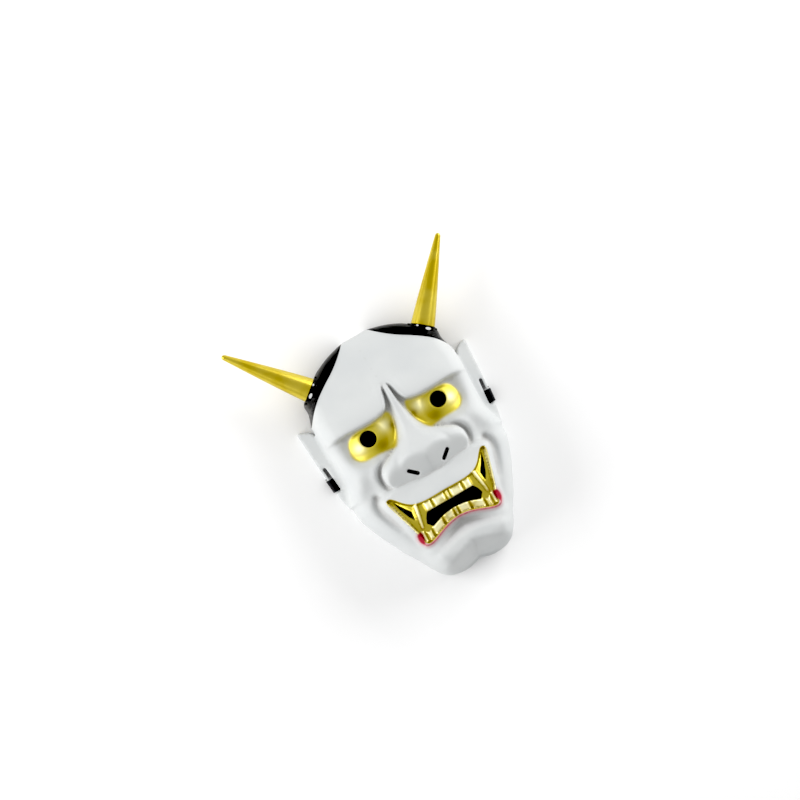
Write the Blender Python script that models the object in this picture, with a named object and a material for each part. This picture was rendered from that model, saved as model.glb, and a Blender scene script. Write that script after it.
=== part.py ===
"""A hannya mask moulded in thin plastic, lying on its rim with the face up.

The mask is one hollow moulding with its hair, ears, nose and teeth. Its surface is a height over the
plane that the rim lies in, summed from the face's features, and its inner side follows that height at the
wall's thickness. Two horns stand on the collars in the hair. An elastic strap runs from ear to ear through
the slots, over the floor below the hollow. X runs across the face, Y from the chin to the crown and Z out
of the face, with the origin at the middle of the mask on the floor. Lengths are in millimetres until the
meshes are made.
"""

import math

import bmesh
import bpy
import numpy as np
from mathutils.geometry import delaunay_2d_cdt

MM = 0.001

# Driving dimensions
WALL = 2.0
SIDE_WALL = 2.4
EAR_WALL = 1.3
EAR_DROP = 4.5
STRAP_NOTCH = 3.0
SLOT_LENGTH = 25.0
SLOT_WIDTH = 3.2
SLOT_MIDDLE = (80.6, 8.4)
SLOT_TILT = 5.6
PUPIL_RADIUS = 7.6
PUPIL_MIDDLE = (36.0, 24.0)
NOSTRIL_LENGTH = 12.0
NOSTRIL_WIDTH = 3.6
NOSTRIL_MIDDLE = (16.5, -21.4)
NOSTRIL_TILT = 42.0
HORN_FOOT = np.array((58.7, 87.9))
HORN_TIP = np.array((112.2, 153.3))
HORN_FOOT_HEIGHT = 33.0
HORN_TIP_HEIGHT = 36.0
HORN_RADIUS = 11.0
HORN_TIP_RADIUS = 2.2
COLLAR_RADIUS = 11.7
COLLAR_LENGTH = 26.0
STRAP_WIDTH = 12.4
STRAP_THICKNESS = 1.0
STRAP_MIDDLE_Y = 2.9
STRAP_BOW = 24.9
FIT_GAP = 0.3

# Spacing of the mesh
OUTER_FINE = 3.5
OUTER_COARSE = 6.2
INNER_SPACING = 6.4
INNER_REACH = 3.6


def smooth(t):
    t = np.clip(t, 0.0, 1.0)
    return t * t * (3.0 - 2.0 * t)


def ramp(value, start, end):
    """0 before start and 1 past end, with a soft turn at both."""
    return smooth((value - start) / (end - start))


def hill(distance, width):
    return np.exp(-((distance / width) ** 2))


def higher(a, b, blend):
    """The higher of two surfaces, with the join rounded over blend."""
    share = np.clip(0.5 + 0.5 * (a - b) / blend, 0.0, 1.0)
    return b + (a - b) * share + blend * share * (1.0 - share)


def lower(a, b, blend):
    return -higher(-a, -b, blend)


def round_over(depth, width):
    """A rounded shoulder: 0 at an edge, rising steeply to 1 at width inside it."""
    return (1 - (1 - np.clip(depth / width, 0, 1)) ** 2.5) ** 0.4


def profile(at, stations):
    """A smooth curve through pairs of station and value."""
    at = np.asarray(at, float)
    x, v = np.array(stations, float).T
    step = np.diff(x)
    rise = np.diff(v) / step
    middle = np.where(rise[:-1] * rise[1:] > 0, (rise[:-1] + rise[1:]) / 2, 0)
    lean = np.concatenate([rise[:1], middle, rise[-1:]])
    i = np.clip(np.searchsorted(x, at) - 1, 0, len(x) - 2)
    t = np.clip((at - x[i]) / step[i], 0, 1)
    start, end = (1 + 2 * t) * (1 - t) ** 2, t * t * (3 - 2 * t)
    return start * v[i] + end * v[i + 1] + step[i] * t * (1 - t) * ((1 - t) * lean[i] - t * lean[i + 1])


def curve(points, steps=4, closed=False):
    """A smooth line through a few points, with this many steps between each two."""
    p = np.array(points, float)
    before, after = (p[-1:], p[:2]) if closed else (2 * p[:1] - p[1:2], 2 * p[-1:] - p[-2:-1])
    p = np.vstack([before, p, after])
    t = (np.arange(steps) / steps)[:, None]
    spans = [
        b + 0.5 * t * (c - a + t * (2 * a - 5 * b + 4 * c - d + t * (3 * (b - c) + d - a)))
        for a, b, c, d in zip(p, p[1:], p[2:], p[3:])
    ]
    return np.vstack(spans if closed else spans + [p[-2:-1]])


def mirrored(half):
    """A closed outline from its half on the +X side, which starts and ends on the middle line."""
    return np.vstack([half, half[-2:0:-1] * (-1, 1)])


def flipped(line):
    return line[::-1] * (-1, 1)


def from_line(x, y, line, closed=False):
    """The distance of each place from a line, and how far along the line it is, from 0 to 1."""
    ends = np.vstack([line, line[:1]]) if closed else line
    best, along = np.full(np.shape(x), np.inf), np.zeros(np.shape(x))
    for k, (a, b) in enumerate(zip(ends[:-1], ends[1:])):
        d = b - a
        t = np.clip(((x - a[0]) * d[0] + (y - a[1]) * d[1]) / (d @ d), 0, 1)
        gap = np.hypot(x - a[0] - t * d[0], y - a[1] - t * d[1])
        along = np.where(gap < best, (k + t) / (len(ends) - 1), along)
        best = np.minimum(best, gap)
    return best, along


def inside(x, y, outline):
    odd = np.zeros(np.shape(x), bool)
    for a, b in zip(outline, np.roll(outline, -1, axis=0)):
        if a[1] != b[1]:
            odd ^= ((a[1] > y) != (b[1] > y)) & (x < a[0] + (y - a[1]) * (b[0] - a[0]) / (b[1] - a[1]))
    return odd


def depth_in(x, y, outline):
    """The distance inside a closed outline, negative outside it."""
    return np.where(inside(x, y, outline), 1, -1) * from_line(x, y, outline, closed=True)[0]


def turned(length, width, middle, tilt, points=4):
    """A slit with round ends: its middle, and its tilt in degrees from the X axis."""
    turns = np.radians(np.linspace(-90, 90, points))
    cap = np.stack([np.cos(turns), np.sin(turns)], axis=1) * width / 2
    ring = np.vstack([cap + (length / 2 - width / 2, 0), -cap - (length / 2 - width / 2, 0)])
    c, s = math.cos(math.radians(tilt)), math.sin(math.radians(tilt))
    return ring @ np.array([[c, s], [-s, c]]) + middle


# The horns' direction across the floor, and the wall of the collar that each horn stands on
HORN_AXIS = (HORN_TIP - HORN_FOOT) / np.hypot(*(HORN_TIP - HORN_FOOT))
HORN_SIDE = np.array((HORN_AXIS[1], -HORN_AXIS[0]))


def collar_wall(share):
    return tuple(HORN_FOOT + share * COLLAR_RADIUS * HORN_SIDE)


# Outlines on the +X side, which the other side mirrors
CROWN_EDGE = curve([(0, 110.2), (7, 110.3), (14, 109.9), (30, 105.6), (43, 99.8), collar_wall(-1)], 3)
COLLAR_EDGE = np.array([collar_wall(math.sin(math.radians(turn))) for turn in range(-60, 90, 30)])
TEMPLE_EDGE = curve([collar_wall(1), (69.3, 77.0), (69.1, 71), (70.8, 64), (73.2, 57.5), (73.8, 50)], 3)
EAR_ROOT = curve([(73.8, 50), (74, 42), (73.6, 26), (73.2, 8), (74, -5), (77, -15), (79.4, -22.5)], 3)
JAW_EDGE = curve(
    [(79.4, -22.5), (77.4, -26), (76.6, -36.0), (73.3, -46.5), (68.4, -58.0)]
    + [(62.3, -70.5), (56.6, -81.8), (50.8, -91.0), (45.6, -100.0), (41.2, -108.4)]
    + [(34.6, -117.2), (26.0, -121.8), (14, -123.0), (5, -121.3), (0, -119.4)],
    2,
)
EAR_EDGE = curve(
    [(73.8, 50), (76.5, 54.2), (81, 57.2), (87.2, 58.6), (86.9, 48), (85.8, 28), (84.5, 11.5)]
    + [(84.3, 9.9), (83.9, 5), (82.8, -4.1), (82.6, -5.7), (82.0, -11), (79.4, -22.5)],
    2,
)
HEAD = mirrored(np.vstack([CROWN_EDGE, COLLAR_EDGE, TEMPLE_EDGE[:-1], EAR_ROOT[:-1], JAW_EDGE]))
NOSE = mirrored(
    curve(
        [(0, -30.2), (10, -29.4), (21, -27.2), (31, -26.6), (37.5, -25.6), (41.2, -22.0), (42.6, -15.0)]
        + [(41.4, -8.5), (37.0, -3.2), (30, 0.6), (20, 5.5), (10, 12), (0, 15)],
        3,
    )
)
MOUTH = mirrored(
    curve(
        [(0, -48.0), (12, -48.3), (22, -48.0), (31, -46.0), (37.5, -41.5), (43.0, -35.2)]
        + [(46.5, -32.2), (50.0, -32.5), (50.6, -36.5), (47.5, -48.0), (43.5, -61.0), (39.8, -73.5)]
        + [(38.5, -80.0), (35.5, -83.6), (30, -83.0), (20, -79.3), (9, -75.6), (0, -74.6)],
        2,
    )
)
MUZZLE = mirrored(
    curve(
        [(0, -18), (28, -20), (42, -24.5), (50, -26.8), (54.6, -30.5), (55.4, -37), (52.6, -48)]
        + [(49, -61), (45.5, -74), (43.6, -83), (38, -88), (28, -87), (14, -82.5), (0, -79.0)],
        2,
    )
)
EYE = curve(
    [(8.3, 35.2), (7.6, 30), (8.9, 22), (12.4, 13.3), (17.8, 6.2), (24, 6.0)]
    + [(34, 7.2), (46, 7.4), (52, 9.6), (55.6, 14.5), (56, 21), (53.7, 28.5)]
    + [(49, 32.8), (41, 34.4), (28, 34.2), (16, 35.6), (10.5, 37.2)],
    2,
    closed=True,
)
HAIRLINE = curve(
    [(13.5, 112), (14, 109.2), (23, 100.6), (33.6, 92.4), (45.8, 84.6)]
    + [(56.4, 77), (63.8, 70.2), (69.5, 63.4), (73.4, 57.5)],
    2,
)
HAIR = np.vstack([HAIRLINE, [(77, 62), (90, 64), (90, 125), (13.5, 125)]])

# Lines across the face, as stations of X and Y on the +X side
BROW_LINE = [(0, 90), (2.2, 65), (3.5, 58), (4.6, 52), (6.6, 45.5), (10, 40.6), (16, 37.8)]
BROW_LINE += [(25, 36.5), (38, 36.6), (50, 37.2), (60, 36.8), (67, 35.4), (76, 33.0)]
FROWN = curve([(9.0, 39.0), (6.0, 46.5), (4.2, 52.5), (3.2, 58.5)])
LOWER_LID = [(0, 6), (18, 4), (34, 5), (50, 7), (62, 13), (72, 24)]
NOSE_BOTTOM = [(0, -30.2), (22, -27), (42, -26)]
CHIN_LINE = [(0, -97.8), (9, -101.0), (18, -105.0), (30, -109.0), (41, -110.5), (60, -111)]
CHEEK_FOLD = curve([(33, 3.5), (41, 0.5), (47.2, -6.0), (48.4, -15.0), (46.4, -24.0)])
WING_CREASE = curve([(28, 1.5), (38, -2.4), (43.2, -8.6), (44.4, -15.5), (42.6, -23), (38.5, -27)])
CORNER_FOLD = curve([(55.5, -26.0), (58.6, -32.0), (58.2, -40.0), (55.0, -50.0), (51.0, -60.5)])
LOWER_LIP = curve([(0, -76), (9, -77), (20, -80.6), (30, -84.2), (38, -83.5)])

# Openings
PUPIL = turned(2 * PUPIL_RADIUS, 2 * PUPIL_RADIUS, PUPIL_MIDDLE, 0, 10)
PUPIL = PUPIL[np.hypot(*(PUPIL - np.roll(PUPIL, 1, axis=0)).T) > 0.1]
NOSTRIL = turned(NOSTRIL_LENGTH, NOSTRIL_WIDTH, NOSTRIL_MIDDLE, NOSTRIL_TILT)
SLOT = turned(SLOT_LENGTH, SLOT_WIDTH, SLOT_MIDDLE, 90 - SLOT_TILT, 3)
BITE = mirrored(
    np.array(
        [(0, -57.8), (12, -57.8), (23.5, -57.8), (26.5, -62), (28.6, -67.3)]
        + [(24.6, -72.2), (16.5, -69.3), (9, -67.3), (0, -66.7)]
    )
)
BITE_CORNER = np.array(
    [(45.8, -35.8), (39.5, -45.5), (35.2, -51.5), (36.2, -59.5), (39.5, -54.5), (43.5, -44.5)]
)

# Teeth: where one ends and the next starts, and the rows' edges as stations of X and Y
UPPER_TEETH = (0, 2.0, 15.5, 24.5)
UPPER_TOP = [(0, -49.2), (25, -49.0)]
UPPER_BOTTOM = [(0, -59.0), (25, -59.0)]
LOWER_TEETH = (0, 2.0, 13.8, 26.9, 33.4, 38.2)
LOWER_TOP = [(0, -65.5), (9, -66.2), (16.5, -68.3), (24.6, -71.2), (30, -73.8), (34, -71.5), (39, -68)]
LOWER_BOTTOM = [(0, -74.4), (9, -75.4), (20, -79.0), (30, -82.4), (39, -82.8)]
FANG = np.array([(27.4, -46.3), (32.6, -46.8), (35.0, -68.6), (33.7, -70.6), (32.2, -69.4)])
MOLARS = np.array(
    [(47.6, -35.0), (51.5, -33.0), (48.5, -49.0), (40.8, -74.0), (37.6, -72.5), (43.9, -50.0)]
)


def row_of_teeth(ends, top, bottom, gap=0.5):
    """The outlines of a row's teeth on the +X side; the first one is half of the middle tooth."""
    teeth = []
    for start, end in zip(ends[:-1], ends[1:]):
        left = -end if start == 0 else start
        x = np.linspace(left + gap, end - gap, 4)
        edge = np.abs(x)
        upper, under = profile(edge, top), profile(edge, bottom)
        teeth.append(np.vstack([np.stack([x, upper], axis=1), np.stack([x, under], axis=1)[::-1]]))
    return teeth


TEETH = row_of_teeth(UPPER_TEETH, UPPER_TOP, UPPER_BOTTOM)
TEETH += row_of_teeth(LOWER_TEETH, LOWER_TOP, LOWER_BOTTOM)


def brim(y):
    """The height that the sides of the head drop to before the wall goes straight down."""
    stations = [(-121, 15), (-105, 14), (-60, 12), (-28, 11.5), (52, 12.5), (75, 17), (95, 23), (109, 25)]
    return profile(y, stations)


def head(x, y):
    """The head without its features: sloping back above the brow, flat below it, round at the sides."""
    depth = depth_in(x, y, HEAD)
    down = profile(
        y,
        [(-121, 48), (-112, 55), (-100, 60), (-80, 60), (-60, 61), (-30, 60), (0, 59)]
        + [(25, 60), (42, 65), (52, 64), (65, 58.5), (85, 48), (100, 39.5), (109, 34)],
    )
    across = profile(x, [(0, 0), (20, 0.7), (40, 3.2), (60, 8.5), (80, 16)])
    width = profile(y, [(-121, 18), (-100, 15), (-60, 13), (0, 16), (60, 14), (95, 8), (109, 6)])
    rim = brim(y) - EAR_DROP * np.clip((x - 74) / 13, 0, 1) * ramp(-depth, 0, 2)
    return rim + round_over(depth, width) * np.maximum(down - across - rim, 0)


def hair(x, y, z):
    """The hair stands a little proud of the forehead, with a round collar under each horn."""
    z = z + 1.6 * ramp(depth_in(x, y, HAIR), -0.2, 1.6) * ramp(depth_in(x, y, HEAD), 0, 3)
    out = (x - HORN_FOOT[0]) * HORN_AXIS[0] + (y - HORN_FOOT[1]) * HORN_AXIS[1]
    off = (x - HORN_FOOT[0]) * HORN_SIDE[0] + (y - HORN_FOOT[1]) * HORN_SIDE[1]
    collar = HORN_FOOT_HEIGHT + np.sqrt(np.clip(COLLAR_RADIUS**2 - off**2, 0, None))
    collar = collar - 10 * ramp(-out, 5, 20)
    near = (np.abs(off) < COLLAR_RADIUS + 2) & (out > -COLLAR_LENGTH)
    return np.where(near, higher(z, collar, 2.5), z)


def brow_and_eyes(x, y, z):
    """The brow's edge, the sockets under it and the round eyes in them."""
    slant = profile(x + 0.5, BROW_LINE) - profile(x - 0.5, BROW_LINE)
    below = (profile(x, BROW_LINE) - y) / np.sqrt(1 + slant**2)
    bulge = 4.0 * hill(np.maximum(-below, 0), 14) * ramp(-below, -1.0, 1.0) * (1 - 0.75 * ramp(x, 52, 74))
    lid = ramp(y - profile(x, LOWER_LID), -7, 8)
    socket = 8.0 * ramp(below, -0.6, 2.6) * lid * (1 - 0.85 * ramp(x, 52, 68)) * (1 - ramp(y, 50, 60))
    z = z + bulge * ramp(x, 0, 12) * (1 - ramp(y, 54, 76)) - socket
    depth = depth_in(x, y, EYE)
    ball = 7.5 * np.clip(1 - ((x - 38) / 19) ** 2 - ((y - 21) / 17) ** 2, 0, 1) ** 1.2
    corner = 4.0 * hill(np.hypot(x - 16.5, (y - 26) * 0.8), 7)
    z = z - 3.0 * hill(from_line(x, y, FROWN)[0], 1.5) * ramp(y, 36, 44) * (1 - ramp(y, 54, 61))
    return z + (ball + corner) * ramp(depth, -3.0, 4.0) * ramp(below, 0, 5)


def cheeks(x, y, z):
    """The cheekbone, the hollow below it, and the folds round the nose and outside the mouth's corner."""
    z = z + 4.0 * np.exp(-(((x - 58) / 11) ** 2) - ((y + 3) / 9) ** 2)
    z = z - 3.0 * np.exp(-(((x - 60) / 13) ** 2) - ((y + 21) / 7) ** 2)
    away, along = from_line(x, y, CORNER_FOLD)
    z = z - 5.0 * hill(away, 3.2) * (1 - 0.8 * along)
    away, along = from_line(x, y, CHEEK_FOLD)
    return z + 2.5 * hill(away, 4.0) * np.sin(np.pi * np.clip(along, 0.04, 0.96))


def muzzle(x, y, z):
    """The lips, pushed forward round the mouth and fullest along the upper one."""
    full = 7.5 - 3.5 * ramp(-y, 52, 80)
    z = z + full * ramp(depth_in(x, y, MUZZLE), -1.5, 4.5)
    return z + 5.5 * ramp(-y, 26, 49) * np.exp(-((x / 40) ** 4)) * (1 - ramp(-y, 56, 80))


def nose(x, y, z):
    """The bridge between the brows, widening to the tip, and the wings with their flat underside."""
    crest = profile(
        y,
        [(-34, 62), (-30, 67), (-26, 72), (-20, 78), (-14, 82.5), (-9, 83), (0, 79.5)]
        + [(10, 74.5), (20, 71), (31, 68.5), (42, 68), (52, 67.0), (60, 63), (72, 55)],
    )
    wide = profile(
        y,
        [(-30, 26), (-14, 30), (-4, 27), (4, 19), (13, 12)]
        + [(22, 8.8), (31, 7.2), (45, 4.8), (60, 3.0), (72, 2)],
    )
    side = x / wide
    bridge = crest - 11.0 * (np.sqrt(1 + (side * 1.35) ** 4) - 1) - 3.0 * side**2
    z = higher(z, bridge - 40 * ramp(y, 56, 76) - 60 * ramp(-y, 26, 34), 2.0)
    depth = depth_in(x, y, NOSE)
    wings = 58 + 16.0 * round_over(depth, 12) - 3.0 * ramp(x, 26, 44)
    z = higher(z, np.where(depth > 0, wings, 0), 2.5)
    rise = profile(x, [(0, 0.9), (20, 0.74), (42, 0.70)])
    under = profile(x, [(0, 67.5), (20, 64.5), (42, 61)]) + (y - profile(x, NOSE_BOTTOM)) * rise
    share = ramp(depth, -2.5, 0.5) * (1 - ramp(y, -2, 6))
    z = z + (lower(z, np.maximum(under, 61), 3.0) - z) * share
    away, along = from_line(x, y, WING_CREASE)
    return z - 4.0 * hill(away, 1.8) * np.sin(np.pi * np.clip(along, 0.08, 0.92))


def swell(depth, width):
    """A cushion: 0 at an edge, rising at a slant and level from width inside it."""
    return np.sin(np.clip(depth / width, 0, 1) * math.pi / 2)


def mouth(x, y, z):
    """The mouth sunk between the lips, with its teeth raised in it."""
    z = z - 4.2 * ramp(depth_in(x, y, MOUTH), -0.3, 1.8)
    for tooth in TEETH:
        z = z + 2.6 * swell(depth_in(x, y, tooth), 3.0)
    z = z + 2.0 * swell(depth_in(x, y, MOLARS), 2.4)
    z = z + 3.4 * swell(depth_in(x, y, FANG), 2.5)
    return z + 1.8 * hill(from_line(x, y, LOWER_LIP)[0], 1.5)


def chin(x, y, z):
    """The chin's broad ridge, the groove above it and its flat underside."""
    ridge = profile(x, CHIN_LINE)
    shoulder = round_over(depth_in(x, y, HEAD), 18)
    z = z + 8.0 * ramp(-y, 82, 94) * (1 - ramp(x, 28, 50)) * shoulder
    z = z - 4.5 * hill(y - (ridge + 16.5), 4.0) * (1 - ramp(x, 26, 42))
    past = ridge - y
    fall = np.where(past > 0, past, 0) - 1.5 * (1 - np.exp(-np.maximum(past, 0) / 1.5))
    return z - 1.3 * fall * (1 - 0.6 * ramp(x, 30, 42)) * shoulder


def height(x, y):
    """How high the outer surface stands over the floor at a place on the face."""
    x = np.abs(x)
    plain = z = hair(x, y, head(x, y))
    for feature in (brow_and_eyes, cheeks, muzzle, nose, mouth, chin):
        z = feature(x, y, z)
    depth = depth_in(x, y, HEAD)
    z = plain + (z - plain) * ramp(depth, 0, 2)
    return np.maximum(z, brim(y) - EAR_DROP * ramp(-depth, 0, 2))


def inner_height(x, y):
    """How high the hollow reaches: below all of the surface nearby, so that the wall stays thick enough."""
    lowest = height(x, y) - WALL
    for share in (0.45, 1.0):
        reach = share * INNER_REACH
        drop = WALL - (WALL - 1.0) * share**2
        for turn in np.linspace(0, 2 * math.pi, 12, endpoint=False):
            z = height(x + reach * math.cos(turn), y + reach * math.sin(turn)) - drop
            lowest = np.minimum(lowest, z)
    return lowest


def both_sides(rings):
    return [side for ring in rings for side in (ring, flipped(ring))]


HOLES = [BITE] + both_sides([PUPIL, NOSTRIL, SLOT, BITE_CORNER])


def shell_rim():
    """The mask's edge with its ears, and the thickness of the wall below each of its points."""
    parts = [(line, SIDE_WALL) for line in (CROWN_EDGE, COLLAR_EDGE, TEMPLE_EDGE[:-1])]
    parts += [(EAR_EDGE, EAR_WALL), (JAW_EDGE[1:], SIDE_WALL)]
    half = np.vstack([line for line, _ in parts])
    wall = np.concatenate([np.full(len(line), thick) for line, thick in parts])
    return mirrored(half), np.concatenate([wall, wall[-2:0:-1]])


def foot_height(x, y):
    """The wall stands on the floor, but for a notch under each ear where the strap goes in."""
    return STRAP_NOTCH * (1 - ramp(np.abs(y - STRAP_MIDDLE_Y), 7.0, 8.6)) * (np.abs(x) > 79)


def moved_in(ring, distance):
    """A clockwise outline moved inwards, by one distance or by one for each of its points."""
    before, after = ring - np.roll(ring, 1, axis=0), np.roll(ring, -1, axis=0) - ring
    before /= np.hypot(*before.T)[:, None]
    after /= np.hypot(*after.T)[:, None]
    way = np.stack([before[:, 1] + after[:, 1], -(before[:, 0] + after[:, 0])], axis=1)
    way /= np.maximum(np.hypot(*way.T)[:, None], 0.3)
    return ring + way * np.reshape(distance, (-1, 1))


def inner_line(distance):
    """A closed line that follows the head's outline this far inside it."""
    line = moved_in(HEAD, distance)
    line = line[depth_in(*line.T, HEAD) > 0.97 * distance]
    line = line[np.hypot(*(line - np.roll(line, 1, axis=0)).T) > 0.8]
    return np.vstack([line, line[:1]])


def kept_clear(line, outline, holes, others, margin):
    """The stretches of a line that stay this far inside the outline and off the holes and other lines."""

    def is_clear(places):
        clear = depth_in(*places.T, outline) > margin
        for hole in holes:
            clear &= depth_in(*places.T, hole) < -margin
        for other in others:
            clear &= from_line(*places.T, other)[0] > margin
        return clear

    onward = np.append(is_clear((line[1:] + line[:-1]) / 2), False)
    runs = [[]]
    for point, wanted, joined in zip(line, is_clear(line), onward):
        if wanted:
            runs[-1].append(point)
        if runs[-1] and not (wanted and joined):
            runs.append([])
    return [np.array(run) for run in runs if len(run) > 1]


def fill_points(outline, holes, lines, spacing, fine_area):
    """Points on a triangular grid, mirrored in X, that keep away from the outline and the lines."""
    found = []
    for gap, wanted in spacing:
        rows = np.arange(-130, 116, gap * math.sqrt(3) / 2)
        for k, y in enumerate(rows):
            x = (np.arange(40) + (0.5 if k % 2 else 0.0)) * gap
            x = np.concatenate([-x[x > 0][::-1], x])
            place = np.stack([x, np.full(len(x), y)], axis=1)
            place = place[fine_area(*place.T) == wanted]
            keep = inside(*place.T, outline)
            for line in [outline] + holes:
                keep &= from_line(*place.T, line, closed=True)[0] > 0.6 * gap
            for hole in holes:
                keep &= ~inside(*place.T, hole)
            for line in lines:
                keep &= from_line(*place.T, line)[0] > 0.55 * gap
            found.append(place[keep])
    return np.vstack(found)


def triangulated(outline, holes, lines, spacing, fine_area):
    """A flat mesh: its points, its triangles, and the points of the outline and of each hole."""
    rings, placed = [outline] + holes, []
    for line in lines:
        placed += kept_clear(line, outline, holes, placed, 1.1)
    fill = fill_points(outline, holes, placed, spacing, fine_area)
    points = np.vstack(rings + placed + [fill])
    edges, start, ring_ids = [], 0, []
    for ring in rings:
        ids = list(range(start, start + len(ring)))
        edges += list(zip(ids, ids[1:] + ids[:1]))
        ring_ids.append(ids)
        start += len(ring)
    for line in placed:
        edges += [(k, k + 1) for k in range(start, start + len(line) - 1)]
        start += len(line)
    flat, _, faces, origin, _, _ = delaunay_2d_cdt([tuple(p) for p in points], edges, [], 0, 0.01)
    flat = np.array(flat)
    place = {old: new for new, olds in enumerate(origin) for old in olds}
    middle = np.array([flat[list(face)].mean(axis=0) for face in faces])
    keep = inside(*middle.T, outline)
    for hole in holes:
        keep &= ~inside(*middle.T, hole)
    triangles = [list(face) for face, wanted in zip(faces, keep) if wanted]
    return flat, triangles, [[place[k] for k in ids] for ids in ring_ids]


def busy(x, y):
    """Where the face has enough detail to need the finer mesh."""
    return (np.abs(x) < 60) & (y > -92) & (y < 44)


def closed_lines(rings):
    return [np.vstack([ring, ring[:1]]) for ring in rings]


def feature_lines():
    """Lines that the mesh follows, so that the edges of the features stay crisp."""
    x = np.linspace(4, 68, 20)
    brow = profile(x, BROW_LINE)
    jaw = np.linspace(0, 40, 12)
    wing = np.linspace(0, 37, 12)
    ridge = profile(wing, [(0, -14.5), (9, -12.5), (23, -10.6), (37, -10.4)])
    rings = [MOUTH, moved_in(MOUTH, 1.6), NOSE] + both_sides([EYE, FANG])
    lines = [
        np.stack([x, brow + 0.6], axis=1),
        np.stack([x, brow - 2.6], axis=1),
        np.stack([jaw, profile(jaw, CHIN_LINE)], axis=1),
        np.stack([wing, ridge], axis=1),
        WING_CREASE,
        CORNER_FOLD,
        EAR_ROOT,
        HAIRLINE,
    ]
    return closed_lines(rings) + both_sides(lines) + [inner_line(1.2), inner_line(3.8)]


def mask_mesh():
    """The outer surface, the hollow's surface, and the walls between them at the rim and each hole."""
    rim, wall = shell_rim()
    hollow = moved_in(rim, wall)
    flat, outer, outer_rings = triangulated(
        rim, HOLES, feature_lines(), [(OUTER_FINE, True), (OUTER_COARSE, False)], busy
    )
    outer_z = height(*flat.T)
    sides = both_sides([EAR_ROOT - (SIDE_WALL, 0)]) + [inner_line(SIDE_WALL + d) for d in (3.0, 8.5)]
    flat_in, inner, inner_rings = triangulated(
        hollow, HOLES, sides, [(INNER_SPACING, True)], lambda x, y: x == x
    )
    inner_z = inner_height(*flat_in.T)

    points = [*np.column_stack([flat, outer_z])]
    first_inner = len(points)
    points += [*np.column_stack([flat_in, inner_z])]
    faces = [face for face in outer] + [[k + first_inner for k in face[::-1]] for face in inner]
    top, under = outer_rings[0], [k + first_inner for k in inner_rings[0]]
    foot = range(len(points), len(points) + len(rim))
    step = range(foot.stop, foot.stop + len(rim))
    floor_z = foot_height(*rim.T)
    points += [*np.column_stack([rim, floor_z]), *np.column_stack([hollow, floor_z])]
    for a in range(len(rim)):
        b = (a + 1) % len(rim)
        for chain in (top, foot), (foot, step), (step, under):
            faces.append([chain[0][a], chain[0][b], chain[1][b], chain[1][a]])
    for out_ids, in_ids in zip(outer_rings[1:], inner_rings[1:]):
        in_ids = [k + first_inner for k in in_ids]
        for a in range(len(out_ids)):
            b = (a + 1) % len(out_ids)
            faces.append([out_ids[a], out_ids[b], in_ids[b], in_ids[a]])
    return np.array(points), faces


def horn_mesh(side):
    """A horn as rings along its axis, upright like the wall it stands on, with a small round end."""
    foot = np.array([*(HORN_FOOT + FIT_GAP * HORN_AXIS), HORN_FOOT_HEIGHT])
    tip = np.array([*HORN_TIP, HORN_TIP_HEIGHT])
    sides = np.array([[*HORN_SIDE, 0.0], [0.0, 0.0, 1.0]])
    body = [(t, HORN_RADIUS + (HORN_TIP_RADIUS - HORN_RADIUS) * t**1.12) for t in np.linspace(0, 0.975, 9)]
    nub = [(0.985, 0.92 * HORN_TIP_RADIUS), (0.995, 0.6 * HORN_TIP_RADIUS)]
    count = 20
    turns = np.linspace(0, 2 * math.pi, count, endpoint=False)
    rings = [
        foot + (tip - foot) * t + radius * np.column_stack([np.cos(turns), np.sin(turns)]) @ sides
        for t, radius in body + nub
    ]
    points = np.vstack(rings + [tip[None]]) * (side, 1, 1)
    faces = [list(range(count))]
    for ring in range(len(rings) - 1):
        for a in range(count):
            b = (a + 1) % count
            low, high = ring * count, (ring + 1) * count
            faces.append([low + b, low + a, high + a, high + b])
    last = (len(rings) - 1) * count
    faces += [[last + (a + 1) % count, last + a, len(points) - 1] for a in range(count)]
    return points, faces if side > 0 else [face[::-1] for face in faces]


# The strap's route by the ear on the +X side, as X and Z: its end below the ear, out through the notch,
# round the ear's edge, down through the slot and in over the floor
STRAP_AT_EAR = [(63.0, 0.95), (70.0, 0.95), (78.0, 0.95), (82.0, 1.15), (84.0, 2.1), (84.8, 3.9)]
STRAP_AT_EAR += [(84.8, 6.4), (84.6, 8.6), (83.8, 10.3), (82.3, 10.9), (80.8, 10.2), (80.2, 8.5)]
STRAP_AT_EAR += [(79.95, 6.4), (78.9, 4.3), (76.0, 3.0), (70.5, 2.4), (65.0, 2.3), (58.5, 1.7), (51.0, 0.95)]


def strap_route():
    """The middle line of the strap, from its end at one ear to its end at the other."""
    ear = curve(STRAP_AT_EAR, 3)
    x = np.linspace(STRAP_AT_EAR[-1][0], -STRAP_AT_EAR[-1][0], 19)[1:-1]
    floor = np.stack([x, np.full(len(x), STRAP_AT_EAR[-1][1])], axis=1)
    line = np.vstack([ear, floor, ear[::-1] * (-1, 1)])
    bow = STRAP_BOW * np.cos(np.clip(line[:, 0] / 57.0, -1, 1) * math.pi / 2) ** 2
    return np.column_stack([line[:, 0], STRAP_MIDDLE_Y + bow, line[:, 1]])


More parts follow.
